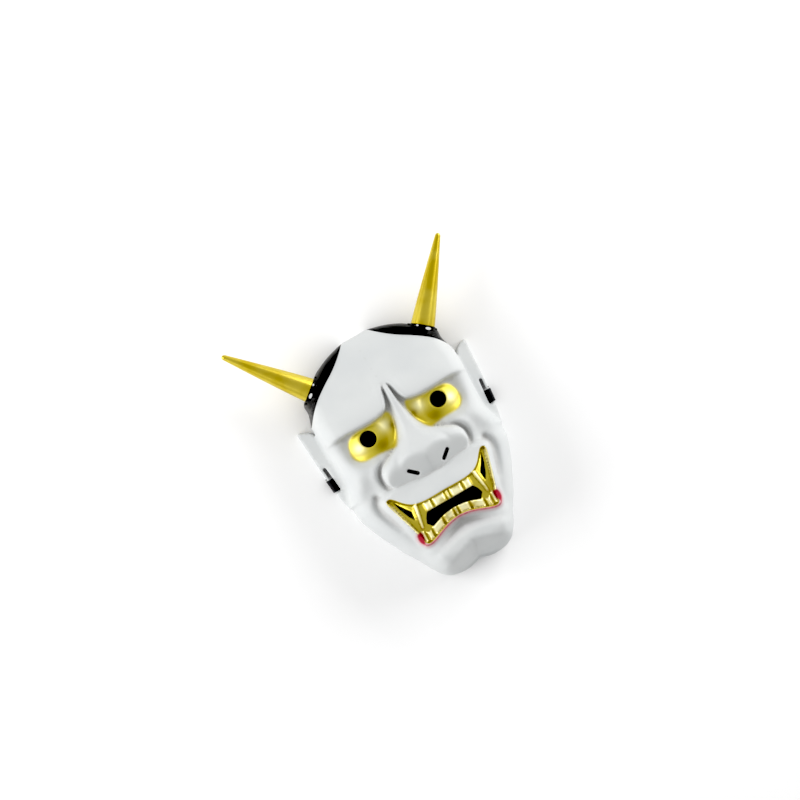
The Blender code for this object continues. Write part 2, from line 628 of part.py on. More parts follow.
def strap_mesh():
    """The band: its flat section carried along the route, turned with it."""
    route = strap_route()
    ahead = np.gradient(route, axis=0)
    ahead /= np.linalg.norm(ahead, axis=1)[:, None]
    lean = np.sign(route[:, 0]) * ramp(np.abs(route[:, 0]), 58, 76) * math.sin(math.radians(SLOT_TILT))
    upright = np.column_stack([lean, np.ones(len(route)), np.zeros(len(route))])
    across = np.cross(ahead, np.cross(upright, ahead))
    across /= np.linalg.norm(across, axis=1)[:, None]
    out = np.cross(ahead, across)
    corners = [(-1, -1), (1, -1), (1, 1), (-1, 1)]
    points = np.concatenate(
        [
            (route + a * across * STRAP_WIDTH / 2 + b * out * STRAP_THICKNESS / 2)[:, None]
            for a, b in corners
        ],
        axis=1,
    ).reshape(-1, 3)
    faces = [[3, 2, 1, 0], [len(points) - k for k in (4, 3, 2, 1)]]
    for n in range(len(route) - 1):
        for a in range(4):
            b = (a + 1) % 4
            faces.append([4 * n + a, 4 * n + b, 4 * n + 4 + b, 4 * n + 4 + a])
    return points, faces


def material(name, colour, roughness, metallic=0.0):
    made = bpy.data.materials.new(name)
    made.use_nodes = True
    shader = made.node_tree.nodes["Principled BSDF"]
    shader.inputs["Base Color"].default_value = (*colour, 1.0)
    shader.inputs["Roughness"].default_value = roughness
    shader.inputs["Metallic"].default_value = metallic
    return made


def add_object(name, points, faces, finish, sharp_degrees):
    mesh = bpy.data.meshes.new(name)
    mesh.from_pydata([tuple(p) for p in points * MM], [], faces)
    work = bmesh.new()
    work.from_mesh(mesh)
    bmesh.ops.triangulate(work, faces=work.faces)
    bmesh.ops.recalc_face_normals(work, faces=work.faces)
    work.to_mesh(mesh)
    work.free()
    mesh.shade_smooth()
    mesh.set_sharp_from_angle(angle=math.radians(sharp_degrees))
    mesh.materials.append(finish)
    bpy.context.collection.objects.link(bpy.data.objects.new(name, mesh))


def main():
    for item in list(bpy.data.objects):
        bpy.data.objects.remove(item)
    enamel = material("white_enamel", (0.80, 0.81, 0.81), 0.35)
    gold = material("gold_paint", (0.55, 0.42, 0.06), 0.3, 0.9)
    webbing = material("black_elastic", (0.012, 0.012, 0.013), 0.85)
    pieces = [
        ("mask_shell", *mask_mesh(), enamel, 40),
        ("horn_right", *horn_mesh(1), gold, 45),
        ("horn_left", *horn_mesh(-1), gold, 45),
        ("elastic_strap", *strap_mesh(), webbing, 30),
    ]
    along = np.concatenate([points[:, 1] for _, points, *_ in pieces[:3]])
    middle = np.array((0.0, (along.min() + along.max()) / 2, 0.0))
    for name, points, faces, finish, sharp_degrees in pieces:
        add_object(name, points - middle, faces, finish, sharp_degrees)


main()
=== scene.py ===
"""The looks of a hannya mask in moulded plastic, lying on its rim with the face up.

Each section makes one piece of the mask, in millimetres: its shape, its finish, and what it rides on
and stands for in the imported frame. After the camera come the elastic strap, the moulded shell with the
painted face, and the two horns, and last the floor and the light.
"""

import math

import bmesh
import bpy
import numpy as np
from mathutils import Matrix, Vector
from mathutils.geometry import delaunay_2d_cdt
from mathutils.kdtree import KDTree


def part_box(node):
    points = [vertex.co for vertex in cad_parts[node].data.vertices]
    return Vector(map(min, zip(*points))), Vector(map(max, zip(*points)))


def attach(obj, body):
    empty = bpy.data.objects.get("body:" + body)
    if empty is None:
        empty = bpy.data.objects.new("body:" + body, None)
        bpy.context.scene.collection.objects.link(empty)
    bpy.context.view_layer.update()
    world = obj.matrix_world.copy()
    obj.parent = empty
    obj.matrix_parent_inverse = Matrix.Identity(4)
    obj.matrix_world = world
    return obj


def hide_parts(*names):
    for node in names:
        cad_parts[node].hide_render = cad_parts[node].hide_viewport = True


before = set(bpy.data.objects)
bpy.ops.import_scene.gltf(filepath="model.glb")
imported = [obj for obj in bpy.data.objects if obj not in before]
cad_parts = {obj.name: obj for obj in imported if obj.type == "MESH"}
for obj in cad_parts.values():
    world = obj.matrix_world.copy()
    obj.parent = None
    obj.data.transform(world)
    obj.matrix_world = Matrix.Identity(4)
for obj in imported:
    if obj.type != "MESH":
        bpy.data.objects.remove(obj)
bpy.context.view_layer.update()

MM = 0.001
# Places on the face are measured from its own middle, which the chin's edge lies this far below
CHIN_REACH = 123.0
FACE_SHIFT = Vector((0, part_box("mask_shell")[0][1] / MM + CHIN_REACH, 0))


# Camera
# It looks down on the face from a little to one side, through a long lens. The crown points to the
# upper left of the picture, and the nose's root is a little right of the picture's middle and below it.
CAMERA_DISTANCE = 3000.0
CAMERA_YAW = math.radians(3.75)
CROWN_TURN = math.radians(29.9)
MM_PER_PIXEL = 0.889
IMAGE_PIXELS = 800
FACE_PIXEL = (417.2, 442.0)
FACE_HEIGHT = 65.0
SENSOR = 36.0

toward = Vector((-math.sin(CAMERA_YAW), 0, math.cos(CAMERA_YAW)))
right_hand = Vector((math.cos(CAMERA_YAW), 0, math.sin(CAMERA_YAW)))
crown = Vector((0, 1, 0))
image_up = math.cos(CROWN_TURN) * crown + math.sin(CROWN_TURN) * right_hand
image_right = math.cos(CROWN_TURN) * right_hand - math.sin(CROWN_TURN) * crown
aim = Vector((0, 0, FACE_HEIGHT))
aim -= image_right * (FACE_PIXEL[0] - IMAGE_PIXELS / 2) * MM_PER_PIXEL
aim += image_up * (FACE_PIXEL[1] - IMAGE_PIXELS / 2) * MM_PER_PIXEL
aim += FACE_SHIFT
camera_data = bpy.data.cameras.new("photo_camera")
camera_data.sensor_width = SENSOR
camera_data.lens = SENSOR * CAMERA_DISTANCE / (IMAGE_PIXELS * MM_PER_PIXEL)
camera_data.clip_start = 0.1
camera_data.clip_end = 20
camera = bpy.data.objects.new("photo_camera", camera_data)
placed = Matrix((image_right, image_up, toward)).transposed().to_4x4()
placed.translation = (aim + toward * CAMERA_DISTANCE) * MM
camera.matrix_world = placed
bpy.context.collection.objects.link(camera)
bpy.context.scene.camera = camera

# Elastic strap
# A band of black braided elastic. Each end goes out through the slot in an ear, round the ear's edge
# and back under it, where it is sewn to the band. The rest lies loose over the floor, below the hollow
# of the mask.
STRAP_WIDTH = 12.4
STRAP_THICKNESS = 1.0
STRAP_MIDDLE_Y = 2.9
STRAP_BOW = 24.9
SLOT_TILT = 5.6
STRAP_RIBS = 8
RIB_DEPTH = 0.16
RIB_POINTS = 3
ELASTIC_BLACK = (0.006, 0.006, 0.007)
ELASTIC_GREY = (0.022, 0.022, 0.024)
# The route by the ear on the +X side, as X and Z: its end below the ear, out through the notch, round
# the ear's edge, down through the slot and in over the floor
STRAP_AT_EAR = [
    (63.0, 0.95), (70.0, 0.95), (78.0, 0.95), (82.0, 1.15), (84.0, 2.1), (84.8, 3.9), (84.8, 6.4),
    (84.6, 8.6), (83.8, 10.3), (82.3, 10.9), (80.8, 10.2), (80.2, 8.5), (79.95, 6.4), (78.9, 4.3),
    (76.0, 3.0), (70.5, 2.4), (65.0, 2.3), (58.5, 1.7), (51.0, 0.95),
]


def smooth(t):
    t = np.clip(t, 0.0, 1.0)
    return t * t * (3.0 - 2.0 * t)


def ramp(value, start, end):
    """0 before start and 1 past end, with a soft turn at both."""
    return smooth((value - start) / (end - start))


def curve(points, steps=4, closed=False):
    """A smooth line through a few points, with this many steps between each two."""
    p = np.array(points, float)
    before, after = (p[-1:], p[:2]) if closed else (2 * p[:1] - p[1:2], 2 * p[-1:] - p[-2:-1])
    p = np.vstack([before, p, after])
    t = (np.arange(steps) / steps)[:, None]
    spans = [
        b + 0.5 * t * (c - a + t * (2 * a - 5 * b + 4 * c - d + t * (3 * (b - c) + d - a)))
        for a, b, c, d in zip(p, p[1:], p[2:], p[3:])
    ]
    return np.vstack(spans if closed else spans + [p[-2:-1]])


def strap_route(steps):
    """The middle line of the strap, from its end at one ear to its end at the other."""
    ear = curve(STRAP_AT_EAR, steps)
    x = np.linspace(STRAP_AT_EAR[-1][0], -STRAP_AT_EAR[-1][0], 6 * steps + 1)[1:-1]
    floor = np.stack([x, np.full(len(x), STRAP_AT_EAR[-1][1])], axis=1)
    line = np.vstack([ear, floor, ear[::-1] * (-1, 1)])
    bow = STRAP_BOW * np.cos(np.clip(line[:, 0] / 57.0, -1, 1) * math.pi / 2) ** 2
    return np.column_stack([line[:, 0], STRAP_MIDDLE_Y + bow, line[:, 1]])


def band_section():
    """The band's section as places across and out: ribs along both faces, and round edges."""
    count = STRAP_RIBS * 2 * RIB_POINTS
    across = np.linspace(-1, 1, count + 1)[1:-1] * (STRAP_WIDTH - STRAP_THICKNESS) / 2
    rib = np.abs(np.cos(across / (STRAP_WIDTH - STRAP_THICKNESS) * STRAP_RIBS * math.pi))
    face = STRAP_THICKNESS / 2 - RIB_DEPTH * (1 - np.sqrt(rib))
    turns = np.radians(np.linspace(90, -90, 7))
    edge = np.stack([np.cos(turns), np.sin(turns)], axis=1) * STRAP_THICKNESS / 2
    right = edge + ((STRAP_WIDTH - STRAP_THICKNESS) / 2, 0)
    top = np.stack([across, face], axis=1)
    return np.vstack([top, right, -top, -right])


def piece_from(name, points, faces, smooth_faces=True):
    """An object from points round the face's own middle, in millimetres, set in its place in the frame."""
    mesh = bpy.data.meshes.new(name)
    mesh.from_pydata([tuple(p) for p in (np.asarray(points) + FACE_SHIFT) * MM], [], faces)
    if smooth_faces:
        mesh.shade_smooth()
    made = bpy.data.objects.new(name, mesh)
    bpy.context.collection.objects.link(made)
    return made


def face_outwards(made):
    work = bmesh.new()
    work.from_mesh(made.data)
    bmesh.ops.recalc_face_normals(work, faces=work.faces)
    work.to_mesh(made.data)
    work.free()


def make_strap():
    route = strap_route(6)
    ahead = np.gradient(route, axis=0)
    ahead /= np.linalg.norm(ahead, axis=1)[:, None]
    lean = np.sign(route[:, 0]) * ramp(np.abs(route[:, 0]), 58, 76) * math.sin(math.radians(SLOT_TILT))
    upright = np.column_stack([lean, np.ones(len(route)), np.zeros(len(route))])
    across = np.cross(ahead, np.cross(upright, ahead))
    across /= np.linalg.norm(across, axis=1)[:, None]
    out = np.cross(ahead, across)
    section = band_section()
    sideways, outward = section.T[:, None, :, None]
    points = route[:, None] + sideways * across[:, None] + outward * out[:, None]
    size = len(section)
    faces = [list(range(size)), list(range(size * len(route) - size, size * len(route)))]
    for n in range(len(route) - 1):
        for a in range(size):
            b = (a + 1) % size
            faces.append([n * size + a, n * size + b, n * size + size + b, n * size + size + a])
    made = piece_from("elastic_band", points.reshape(-1, 3), faces)
    face_outwards(made)
    run = np.append(0, np.cumsum(np.linalg.norm(np.diff(route, axis=0), axis=1)))
    layer = made.data.uv_layers.new(name="along_band")
    place = np.empty(len(made.data.loops), int)
    made.data.loops.foreach_get("vertex_index", place)
    uv = np.stack([run[place // size], section[place % size, 0]], axis=1)
    layer.data.foreach_set("uv", uv.ravel())
    return made, route, run[-1]


class Field:
    """A shader socket whose value varies over the surface. Arithmetic on it adds Math nodes."""

    def __init__(self, finish, socket):
        self.finish = finish
        self.socket = socket

    def math(self, operation, *values):
        return self.finish.node("ShaderNodeMath", {"operation": operation}, dict(enumerate(values)))

    def __add__(self, other):
        return self.math("ADD", self, other)

    def __sub__(self, other):
        return self.math("SUBTRACT", self, other)

    def __mul__(self, other):
        return self.math("MULTIPLY", self, other)

    def __pow__(self, other):
        return self.math("POWER", self, other)

    def __rsub__(self, other):
        return self.math("SUBTRACT", other, self)

    __radd__ = __add__

    def highest(self, other):
        return self.math("MAXIMUM", self, other)

    def sine(self):
        return self.math("SINE", self)

    def between(self, start, end):
        """0 where the field is at start and 1 where it is at end, with a soft turn at both."""
        settings = {"interpolation_type": "SMOOTHSTEP"}
        return self.finish.node("ShaderNodeMapRange", settings, {0: self, 1: start, 2: end})


class Finish:
    """A material and its Principled shader: plain values are set on its sockets, and fields linked."""

    def __init__(self, name, **values):
        self.material = bpy.data.materials.new(name)
        self.material.use_nodes = True
        self.tree = self.material.node_tree
        self.shader = self.tree.nodes["Principled BSDF"]
        self.put(**values)

    def put(self, **values):
        for name, value in values.items():
            self.feed(self.shader.inputs[name.replace("_", " ")], value)

    def feed(self, socket, value):
        if isinstance(value, Field):
            self.tree.links.new(value.socket, socket)
        elif socket.type == "RGBA":
            socket.default_value = (*value, 1.0)
        else:
            socket.default_value = value

    def node(self, kind, settings, inputs, output=0):
        made = self.tree.nodes.new(kind)
        for name, value in settings.items():
            setattr(made, name, value)
        for name, value in inputs.items():
            self.feed(made.inputs[name], value)
        return Field(self, made.outputs[output])

    def attribute(self, name):
        return self.node("ShaderNodeAttribute", {"attribute_name": name}, {}, "Fac")

    def place(self):
        return self.node("ShaderNodeTexCoord", {}, {}, "Object")

    def noise(self, scale, detail=2.0, place=None, roughness=0.5):
        inputs = {"Vector": place or self.place(), "Scale": scale, "Detail": detail, "Roughness": roughness}
        return self.node("ShaderNodeTexNoise", {}, inputs)

    def mix(self, under, over, share):
        """One colour laid over another."""
        return self.node("ShaderNodeMix", {"data_type": "RGBA"}, {0: share, 6: under, 7: over}, 2)

    def bump(self, height, depth):
        """A relief whose height runs from 0 to 1, this many millimetres deep."""
        inputs = {"Height": height, "Distance": depth * MM}
        self.put(Normal=self.node("ShaderNodeBump", {}, inputs, "Normal"))


def elastic_finish():
    made = Finish("black_braided_elastic", Roughness=0.78, Specular_IOR_Level=0.3)
    uv = made.node("ShaderNodeUVMap", {"uv_map": "along_band"}, {})
    along = made.node("ShaderNodeSeparateXYZ", {}, {0: uv}, 0)
    across = made.node("ShaderNodeSeparateXYZ", {}, {0: uv}, 1)
    braid = (along * 7.0 + (across * 8.8).sine() * 1.4).sine() * 0.5 + 0.5
    fuzz = made.noise(900.0, 3.0)
    made.put(Base_Color=made.mix(ELASTIC_BLACK, ELASTIC_GREY, braid * 0.7 + fuzz * 0.3))
    made.bump(braid * 0.7 + fuzz * 0.3, 0.12)
    return made.material


strap, strap_line, strap_length = make_strap()
strap.data.materials.append(elastic_finish())
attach(strap, "root")
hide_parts("elastic_strap")

# Moulded shell
# The mask is one hollow moulding of black plastic about 2 mm thick: face, ears, hair and the collars
# under the horns. The face is sprayed white, its eyes and teeth gold and its lower lip red, and the
# hair and the inside are left black.
WALL = 2.0
SIDE_WALL = 2.4
EAR_WALL = 1.3
EAR_DROP = 4.5
STRAP_NOTCH = 3.0
SLOT_LENGTH = 25.0
SLOT_WIDTH = 3.2
SLOT_MIDDLE = (80.6, 8.4)
PUPIL_RADIUS = 7.6
PUPIL_MIDDLE = (36.0, 24.0)
NOSTRIL_LENGTH = 12.0
NOSTRIL_WIDTH = 3.6
NOSTRIL_MIDDLE = (16.5, -21.4)
NOSTRIL_TILT = 42.0
HORN_FOOT = np.array((58.7, 87.9))
HORN_TIP = np.array((112.2, 153.3))
HORN_FOOT_HEIGHT = 33.0
COLLAR_RADIUS = 11.7
COLLAR_LENGTH = 26.0
INNER_SPACING = 4.5
INNER_REACH = 3.6
# The mesh is finest in the mouth and the hair, fine over the features and coarse on the plain skin
MESH_SPACING = (0.85, 1.35, 2.2)
EDGE_SPACING = 1.3
OUTLINE_STEPS = 6
# Places times stretches of a line that are compared in one go
BLOCK = 200000


def hill(distance, width):
    return np.exp(-((distance / width) ** 2))


def higher(a, b, blend):
    """The higher of two surfaces, with the join rounded over blend."""
    share = np.clip(0.5 + 0.5 * (a - b) / blend, 0.0, 1.0)
    return b + (a - b) * share + blend * share * (1.0 - share)


def lower(a, b, blend):
    return -higher(-a, -b, blend)


def round_over(depth, width):
    """A rounded shoulder: 0 at an edge, rising steeply to 1 at width inside it."""
    return (1 - (1 - np.clip(depth / width, 0, 1)) ** 2.5) ** 0.4


def profile(at, stations):
    """A smooth curve through pairs of station and value."""
    at = np.asarray(at, float)
    x, v = np.array(stations, float).T
    step = np.diff(x)
    rise = np.diff(v) / step
    middle = np.where(rise[:-1] * rise[1:] > 0, (rise[:-1] + rise[1:]) / 2, 0)
    lean = np.concatenate([rise[:1], middle, rise[-1:]])
    i = np.clip(np.searchsorted(x, at) - 1, 0, len(x) - 2)
    t = np.clip((at - x[i]) / step[i], 0, 1)
    start, end = (1 + 2 * t) * (1 - t) ** 2, t * t * (3 - 2 * t)
    return start * v[i] + end * v[i + 1] + step[i] * t * (1 - t) * ((1 - t) * lean[i] - t * lean[i + 1])


def mirrored(half):
    """A closed outline from its half on the +X side, which starts and ends on the middle line."""
    return np.vstack([half, half[-2:0:-1] * (-1, 1)])


def flipped(line):
    return line[::-1] * (-1, 1)


def blocks(line, places):
    """Stretches of a line, short enough for all the places to be compared with them at once."""
    size = max(1, BLOCK // max(1, places))
    return [(start, line[start : start + size + 1]) for start in range(0, len(line) - 1, size)]


def from_line(x, y, line, closed=False):
    """The distance of each place from a line, and how far along the line it is, from 0 to 1."""
    ends = np.vstack([line, line[:1]]) if closed else line
    px, py = np.ravel(x), np.ravel(y)
    best, along = np.full(px.shape, np.inf), np.zeros(px.shape)
    for start, stretch in blocks(ends, px.size):
        ax, ay = stretch[:-1].T[:, :, None]
        dx, dy = np.diff(stretch, axis=0).T[:, :, None]
        t = ((px - ax) * dx + (py - ay) * dy) / np.maximum(dx * dx + dy * dy, 1e-12)
        t = np.minimum(np.maximum(t, 0), 1)
        gap = (px - ax - t * dx) ** 2 + (py - ay - t * dy) ** 2
        nearest = gap.argmin(axis=0)
        column = np.arange(px.size)
        least = gap[nearest, column]
        along = np.where(least < best, (start + nearest + t[nearest, column]) / (len(ends) - 1), along)
        best = np.minimum(best, least)
    return np.sqrt(best).reshape(np.shape(x)), along.reshape(np.shape(x))


def inside(x, y, outline):
    px, py = np.ravel(x), np.ravel(y)
    odd = np.zeros(px.shape, bool)
    for _, stretch in blocks(np.vstack([outline, outline[:1]]), px.size):
        ax, ay = stretch[:-1].T[:, :, None]
        bx, by = stretch[1:].T[:, :, None]
        rise = np.where(ay == by, 1.0, by - ay)
        crossed = ((ay > py) != (by > py)) & (px < ax + (py - ay) * (bx - ax) / rise)
        odd ^= np.logical_xor.reduce(crossed, axis=0)
    return odd.reshape(np.shape(x))


def depth_in(x, y, outline):
    """The distance inside a closed outline, negative outside it."""
    return np.where(inside(x, y, outline), 1, -1) * from_line(x, y, outline, closed=True)[0]


def turned(length, width, middle, tilt, points=4):
    """A slit with round ends: its middle, and its tilt in degrees from the X axis."""
    turns = np.radians(np.linspace(-90, 90, points))
    cap = np.stack([np.cos(turns), np.sin(turns)], axis=1) * width / 2
    ring = np.vstack([cap + (length / 2 - width / 2, 0), -cap - (length / 2 - width / 2, 0)])
    c, s = math.cos(math.radians(tilt)), math.sin(math.radians(tilt))
    return ring @ np.array([[c, s], [-s, c]]) + middle


# The horns' direction across the floor, and the wall of the collar that each horn stands on
HORN_AXIS = (HORN_TIP - HORN_FOOT) / np.hypot(*(HORN_TIP - HORN_FOOT))
HORN_SIDE = np.array((HORN_AXIS[1], -HORN_AXIS[0]))


def collar_wall(share):
    return tuple(HORN_FOOT + share * COLLAR_RADIUS * HORN_SIDE)


# Outlines on the +X side, which the other side mirrors
CROWN_EDGE = curve(
    [(0, 110.2), (7, 110.3), (14, 109.9), (30, 105.6), (43, 99.8), collar_wall(-1)], OUTLINE_STEPS
)
COLLAR_EDGE = np.array([collar_wall(math.sin(math.radians(turn))) for turn in range(-80, 90, 10)])
TEMPLE_EDGE = curve(
    [collar_wall(1), (69.3, 77.0), (69.1, 71), (70.8, 64), (73.2, 57.5), (73.8, 50)], OUTLINE_STEPS
)
EAR_ROOT = curve(
    [(73.8, 50), (74, 42), (73.6, 26), (73.2, 8), (74, -5), (77, -15), (79.4, -22.5)], OUTLINE_STEPS
)
JAW_EDGE = curve(
    [(79.4, -22.5), (77.4, -26), (76.6, -36.0), (73.3, -46.5), (68.4, -58.0)]
    + [(62.3, -70.5), (56.6, -81.8), (50.8, -91.0), (45.6, -100.0), (41.2, -108.4)]
    + [(34.6, -117.2), (26.0, -121.8), (14, -123.0), (5, -121.3), (0, -119.4)],
    OUTLINE_STEPS,
)
EAR_EDGE = curve(
    [(73.8, 50), (76.5, 54.2), (81, 57.2), (87.2, 58.6), (86.9, 48), (85.8, 28), (84.5, 11.5)]
    + [(84.3, 9.9), (83.9, 5), (82.8, -4.1), (82.6, -5.7), (82.0, -11), (79.4, -22.5)],
    OUTLINE_STEPS,
)
HEAD = mirrored(np.vstack([CROWN_EDGE, COLLAR_EDGE, TEMPLE_EDGE[:-1], EAR_ROOT[:-1], JAW_EDGE]))
NOSE = mirrored(
    curve(
        [(0, -30.2), (10, -29.4), (21, -27.2), (31, -26.6), (37.5, -25.6), (41.2, -22.0), (42.6, -15.0)]
        + [(41.4, -8.5), (37.0, -3.2), (30, 0.6), (20, 5.5), (10, 12), (0, 15)],
        OUTLINE_STEPS,
    )
)
MOUTH = mirrored(
    curve(
        [(0, -48.0), (12, -48.3), (22, -48.0), (31, -46.0), (37.5, -41.5), (43.0, -35.2)]
        + [(46.5, -32.2), (50.0, -32.5), (50.6, -36.5), (47.5, -48.0), (43.5, -61.0), (39.8, -73.5)]
        + [(38.5, -80.0), (35.5, -83.6), (30, -83.0), (20, -79.3), (9, -75.6), (0, -74.6)],
        OUTLINE_STEPS,
    )
)
MUZZLE = mirrored(
    curve(
        [(0, -18), (28, -20), (42, -24.5), (50, -26.8), (54.6, -30.5), (55.4, -37), (52.6, -48)]
        + [(49, -61), (45.5, -74), (43.6, -83), (38, -88), (28, -87), (14, -82.5), (0, -79.0)],
        OUTLINE_STEPS,
    )
)
EYE = curve(
    [(8.3, 35.2), (7.6, 30), (8.9, 22), (12.4, 13.3), (17.8, 6.2), (24, 6.0)]
    + [(34, 7.2), (46, 7.4), (52, 9.6), (55.6, 14.5), (56, 21), (53.7, 28.5)]
    + [(49, 32.8), (41, 34.4), (28, 34.2), (16, 35.6), (10.5, 37.2)],
    OUTLINE_STEPS,
    closed=True,
)
HAIRLINE = curve(
    [(13.5, 112), (14, 109.2), (23, 100.6), (33.6, 92.4), (45.8, 84.6)]
    + [(56.4, 77), (63.8, 70.2), (69.5, 63.4), (73.4, 57.5)],
    OUTLINE_STEPS,
)
HAIR = np.vstack([HAIRLINE, [(77, 62), (90, 64), (90, 125), (13.5, 125)]])

# Lines across the face, as stations of X and Y on the +X side
BROW_LINE = [(0, 90), (2.2, 65), (3.5, 58), (4.6, 52), (6.6, 45.5), (10, 40.6), (16, 37.8)]
BROW_LINE += [(25, 36.5), (38, 36.6), (50, 37.2), (60, 36.8), (67, 35.4), (76, 33.0)]
FROWN = curve([(9.0, 39.0), (6.0, 46.5), (4.2, 52.5), (3.2, 58.5)])
LOWER_LID = [(0, 6), (18, 4), (34, 5), (50, 7), (62, 13), (72, 24)]
NOSE_BOTTOM = [(0, -30.2), (22, -27), (42, -26)]
CHIN_LINE = [(0, -97.8), (9, -101.0), (18, -105.0), (30, -109.0), (41, -110.5), (60, -111)]
CHEEK_FOLD = curve([(33, 3.5), (41, 0.5), (47.2, -6.0), (48.4, -15.0), (46.4, -24.0)])
WING_CREASE = curve([(28, 1.5), (38, -2.4), (43.2, -8.6), (44.4, -15.5), (42.6, -23), (38.5, -27)])
CORNER_FOLD = curve([(55.5, -26.0), (58.6, -32.0), (58.2, -40.0), (55.0, -50.0), (51.0, -60.5)])
LOWER_LIP = curve([(0, -76), (9, -77), (20, -80.6), (30, -84.2), (38, -83.5)])

# Openings
PUPIL = turned(2 * PUPIL_RADIUS, 2 * PUPIL_RADIUS, PUPIL_MIDDLE, 0, 24)
PUPIL = PUPIL[np.hypot(*(PUPIL - np.roll(PUPIL, 1, axis=0)).T) > 0.1]
NOSTRIL = turned(NOSTRIL_LENGTH, NOSTRIL_WIDTH, NOSTRIL_MIDDLE, NOSTRIL_TILT, 8)
SLOT = turned(SLOT_LENGTH, SLOT_WIDTH, SLOT_MIDDLE, 90 - SLOT_TILT, 6)
BITE = mirrored(
    np.array(
        [(0, -57.8), (12, -57.8), (23.5, -57.8), (26.5, -62), (28.6, -67.3)]
        + [(24.6, -72.2), (16.5, -69.3), (9, -67.3), (0, -66.7)]
    )
)
BITE_CORNER = np.array(
    [(45.8, -35.8), (39.5, -45.5), (35.2, -51.5), (36.2, -59.5), (39.5, -54.5), (43.5, -44.5)]
)

# Teeth: where one ends and the next starts, and the rows' edges as stations of X and Y
UPPER_TEETH = (0, 2.0, 15.5, 24.5)
UPPER_TOP = [(0, -49.2), (25, -49.0)]
UPPER_BOTTOM = [(0, -59.0), (25, -59.0)]
LOWER_TEETH = (0, 2.0, 13.8, 26.9, 33.4, 38.2)
LOWER_TOP = [(0, -65.5), (9, -66.2), (16.5, -68.3), (24.6, -71.2), (30, -73.8), (34, -71.5), (39, -68)]
LOWER_BOTTOM = [(0, -74.4), (9, -75.4), (20, -79.0), (30, -82.4), (39, -82.8)]
FANG = np.array([(27.4, -46.3), (32.6, -46.8), (35.0, -68.6), (33.7, -70.6), (32.2, -69.4)])
MOLARS = np.array(
    [(47.6, -35.0), (51.5, -33.0), (48.5, -49.0), (40.8, -74.0), (37.6, -72.5), (43.9, -50.0)]
)


def row_of_teeth(ends, top, bottom, gap=0.5):
    """The outlines of a row's teeth on the +X side; the first one is half of the middle tooth."""
    teeth = []
    for start, end in zip(ends[:-1], ends[1:]):
        left = -end if start == 0 else start
        x = np.linspace(left + gap, end - gap, 4)
        edge = np.abs(x)
        upper, under = profile(edge, top), profile(edge, bottom)
        teeth.append(np.vstack([np.stack([x, upper], axis=1), np.stack([x, under], axis=1)[::-1]]))
    return teeth


TEETH = row_of_teeth(UPPER_TEETH, UPPER_TOP, UPPER_BOTTOM)
TEETH += row_of_teeth(LOWER_TEETH, LOWER_TOP, LOWER_BOTTOM)


def brim(y):
    """The height that the sides of the head drop to before the wall goes straight down."""
    stations = [(-121, 15), (-105, 14), (-60, 12), (-28, 11.5), (52, 12.5), (75, 17), (95, 23), (109, 25)]
    return profile(y, stations)


def head(x, y):
    """The head without its features: sloping back above the brow, flat below it, round at the sides."""
    depth = depth_in(x, y, HEAD)
    down = profile(
        y,
        [(-121, 48), (-112, 55), (-100, 60), (-80, 60), (-60, 61), (-30, 60), (0, 59)]
        + [(25, 60), (42, 65), (52, 64), (65, 58.5), (85, 48), (100, 39.5), (109, 34)],
    )
    across = profile(x, [(0, 0), (20, 0.7), (40, 3.2), (60, 8.5), (80, 16)])
    width = profile(y, [(-121, 18), (-100, 15), (-60, 13), (0, 16), (60, 14), (95, 8), (109, 6)])
    rim = brim(y) - EAR_DROP * np.clip((x - 74) / 13, 0, 1) * ramp(-depth, 0, 2)
    return rim + round_over(depth, width) * np.maximum(down - across - rim, 0)


def hair(x, y, z):
    """The hair stands a little proud of the forehead, with a round collar under each horn."""
    z = z + 1.6 * ramp(depth_in(x, y, HAIR), -0.2, 1.6) * ramp(depth_in(x, y, HEAD), 0, 3)
    out = (x - HORN_FOOT[0]) * HORN_AXIS[0] + (y - HORN_FOOT[1]) * HORN_AXIS[1]
    off = (x - HORN_FOOT[0]) * HORN_SIDE[0] + (y - HORN_FOOT[1]) * HORN_SIDE[1]
    collar = HORN_FOOT_HEIGHT + np.sqrt(np.clip(COLLAR_RADIUS**2 - off**2, 0, None))
    collar = collar - 10 * ramp(-out, 5, 20)
    near = (np.abs(off) < COLLAR_RADIUS + 2) & (out > -COLLAR_LENGTH)
    return np.where(near, higher(z, collar, 2.5), z)


def brow_and_eyes(x, y, z):
    """The brow's edge, the sockets under it and the round eyes in them."""
    slant = profile(x + 0.5, BROW_LINE) - profile(x - 0.5, BROW_LINE)
    below = (profile(x, BROW_LINE) - y) / np.sqrt(1 + slant**2)
    bulge = 4.0 * hill(np.maximum(-below, 0), 14) * ramp(-below, -1.0, 1.0) * (1 - 0.75 * ramp(x, 52, 74))
    lid = ramp(y - profile(x, LOWER_LID), -7, 8)
    socket = 8.0 * ramp(below, -0.6, 2.6) * lid * (1 - 0.85 * ramp(x, 52, 68)) * (1 - ramp(y, 50, 60))
    z = z + bulge * ramp(x, 0, 12) * (1 - ramp(y, 54, 76)) - socket
    depth = depth_in(x, y, EYE)
    ball = 7.5 * np.clip(1 - ((x - 38) / 19) ** 2 - ((y - 21) / 17) ** 2, 0, 1) ** 1.2
    corner = 4.0 * hill(np.hypot(x - 16.5, (y - 26) * 0.8), 7)
    z = z - 3.0 * hill(from_line(x, y, FROWN)[0], 1.5) * ramp(y, 36, 44) * (1 - ramp(y, 54, 61))
    return z + (ball + corner) * ramp(depth, -3.0, 4.0) * ramp(below, 0, 5)


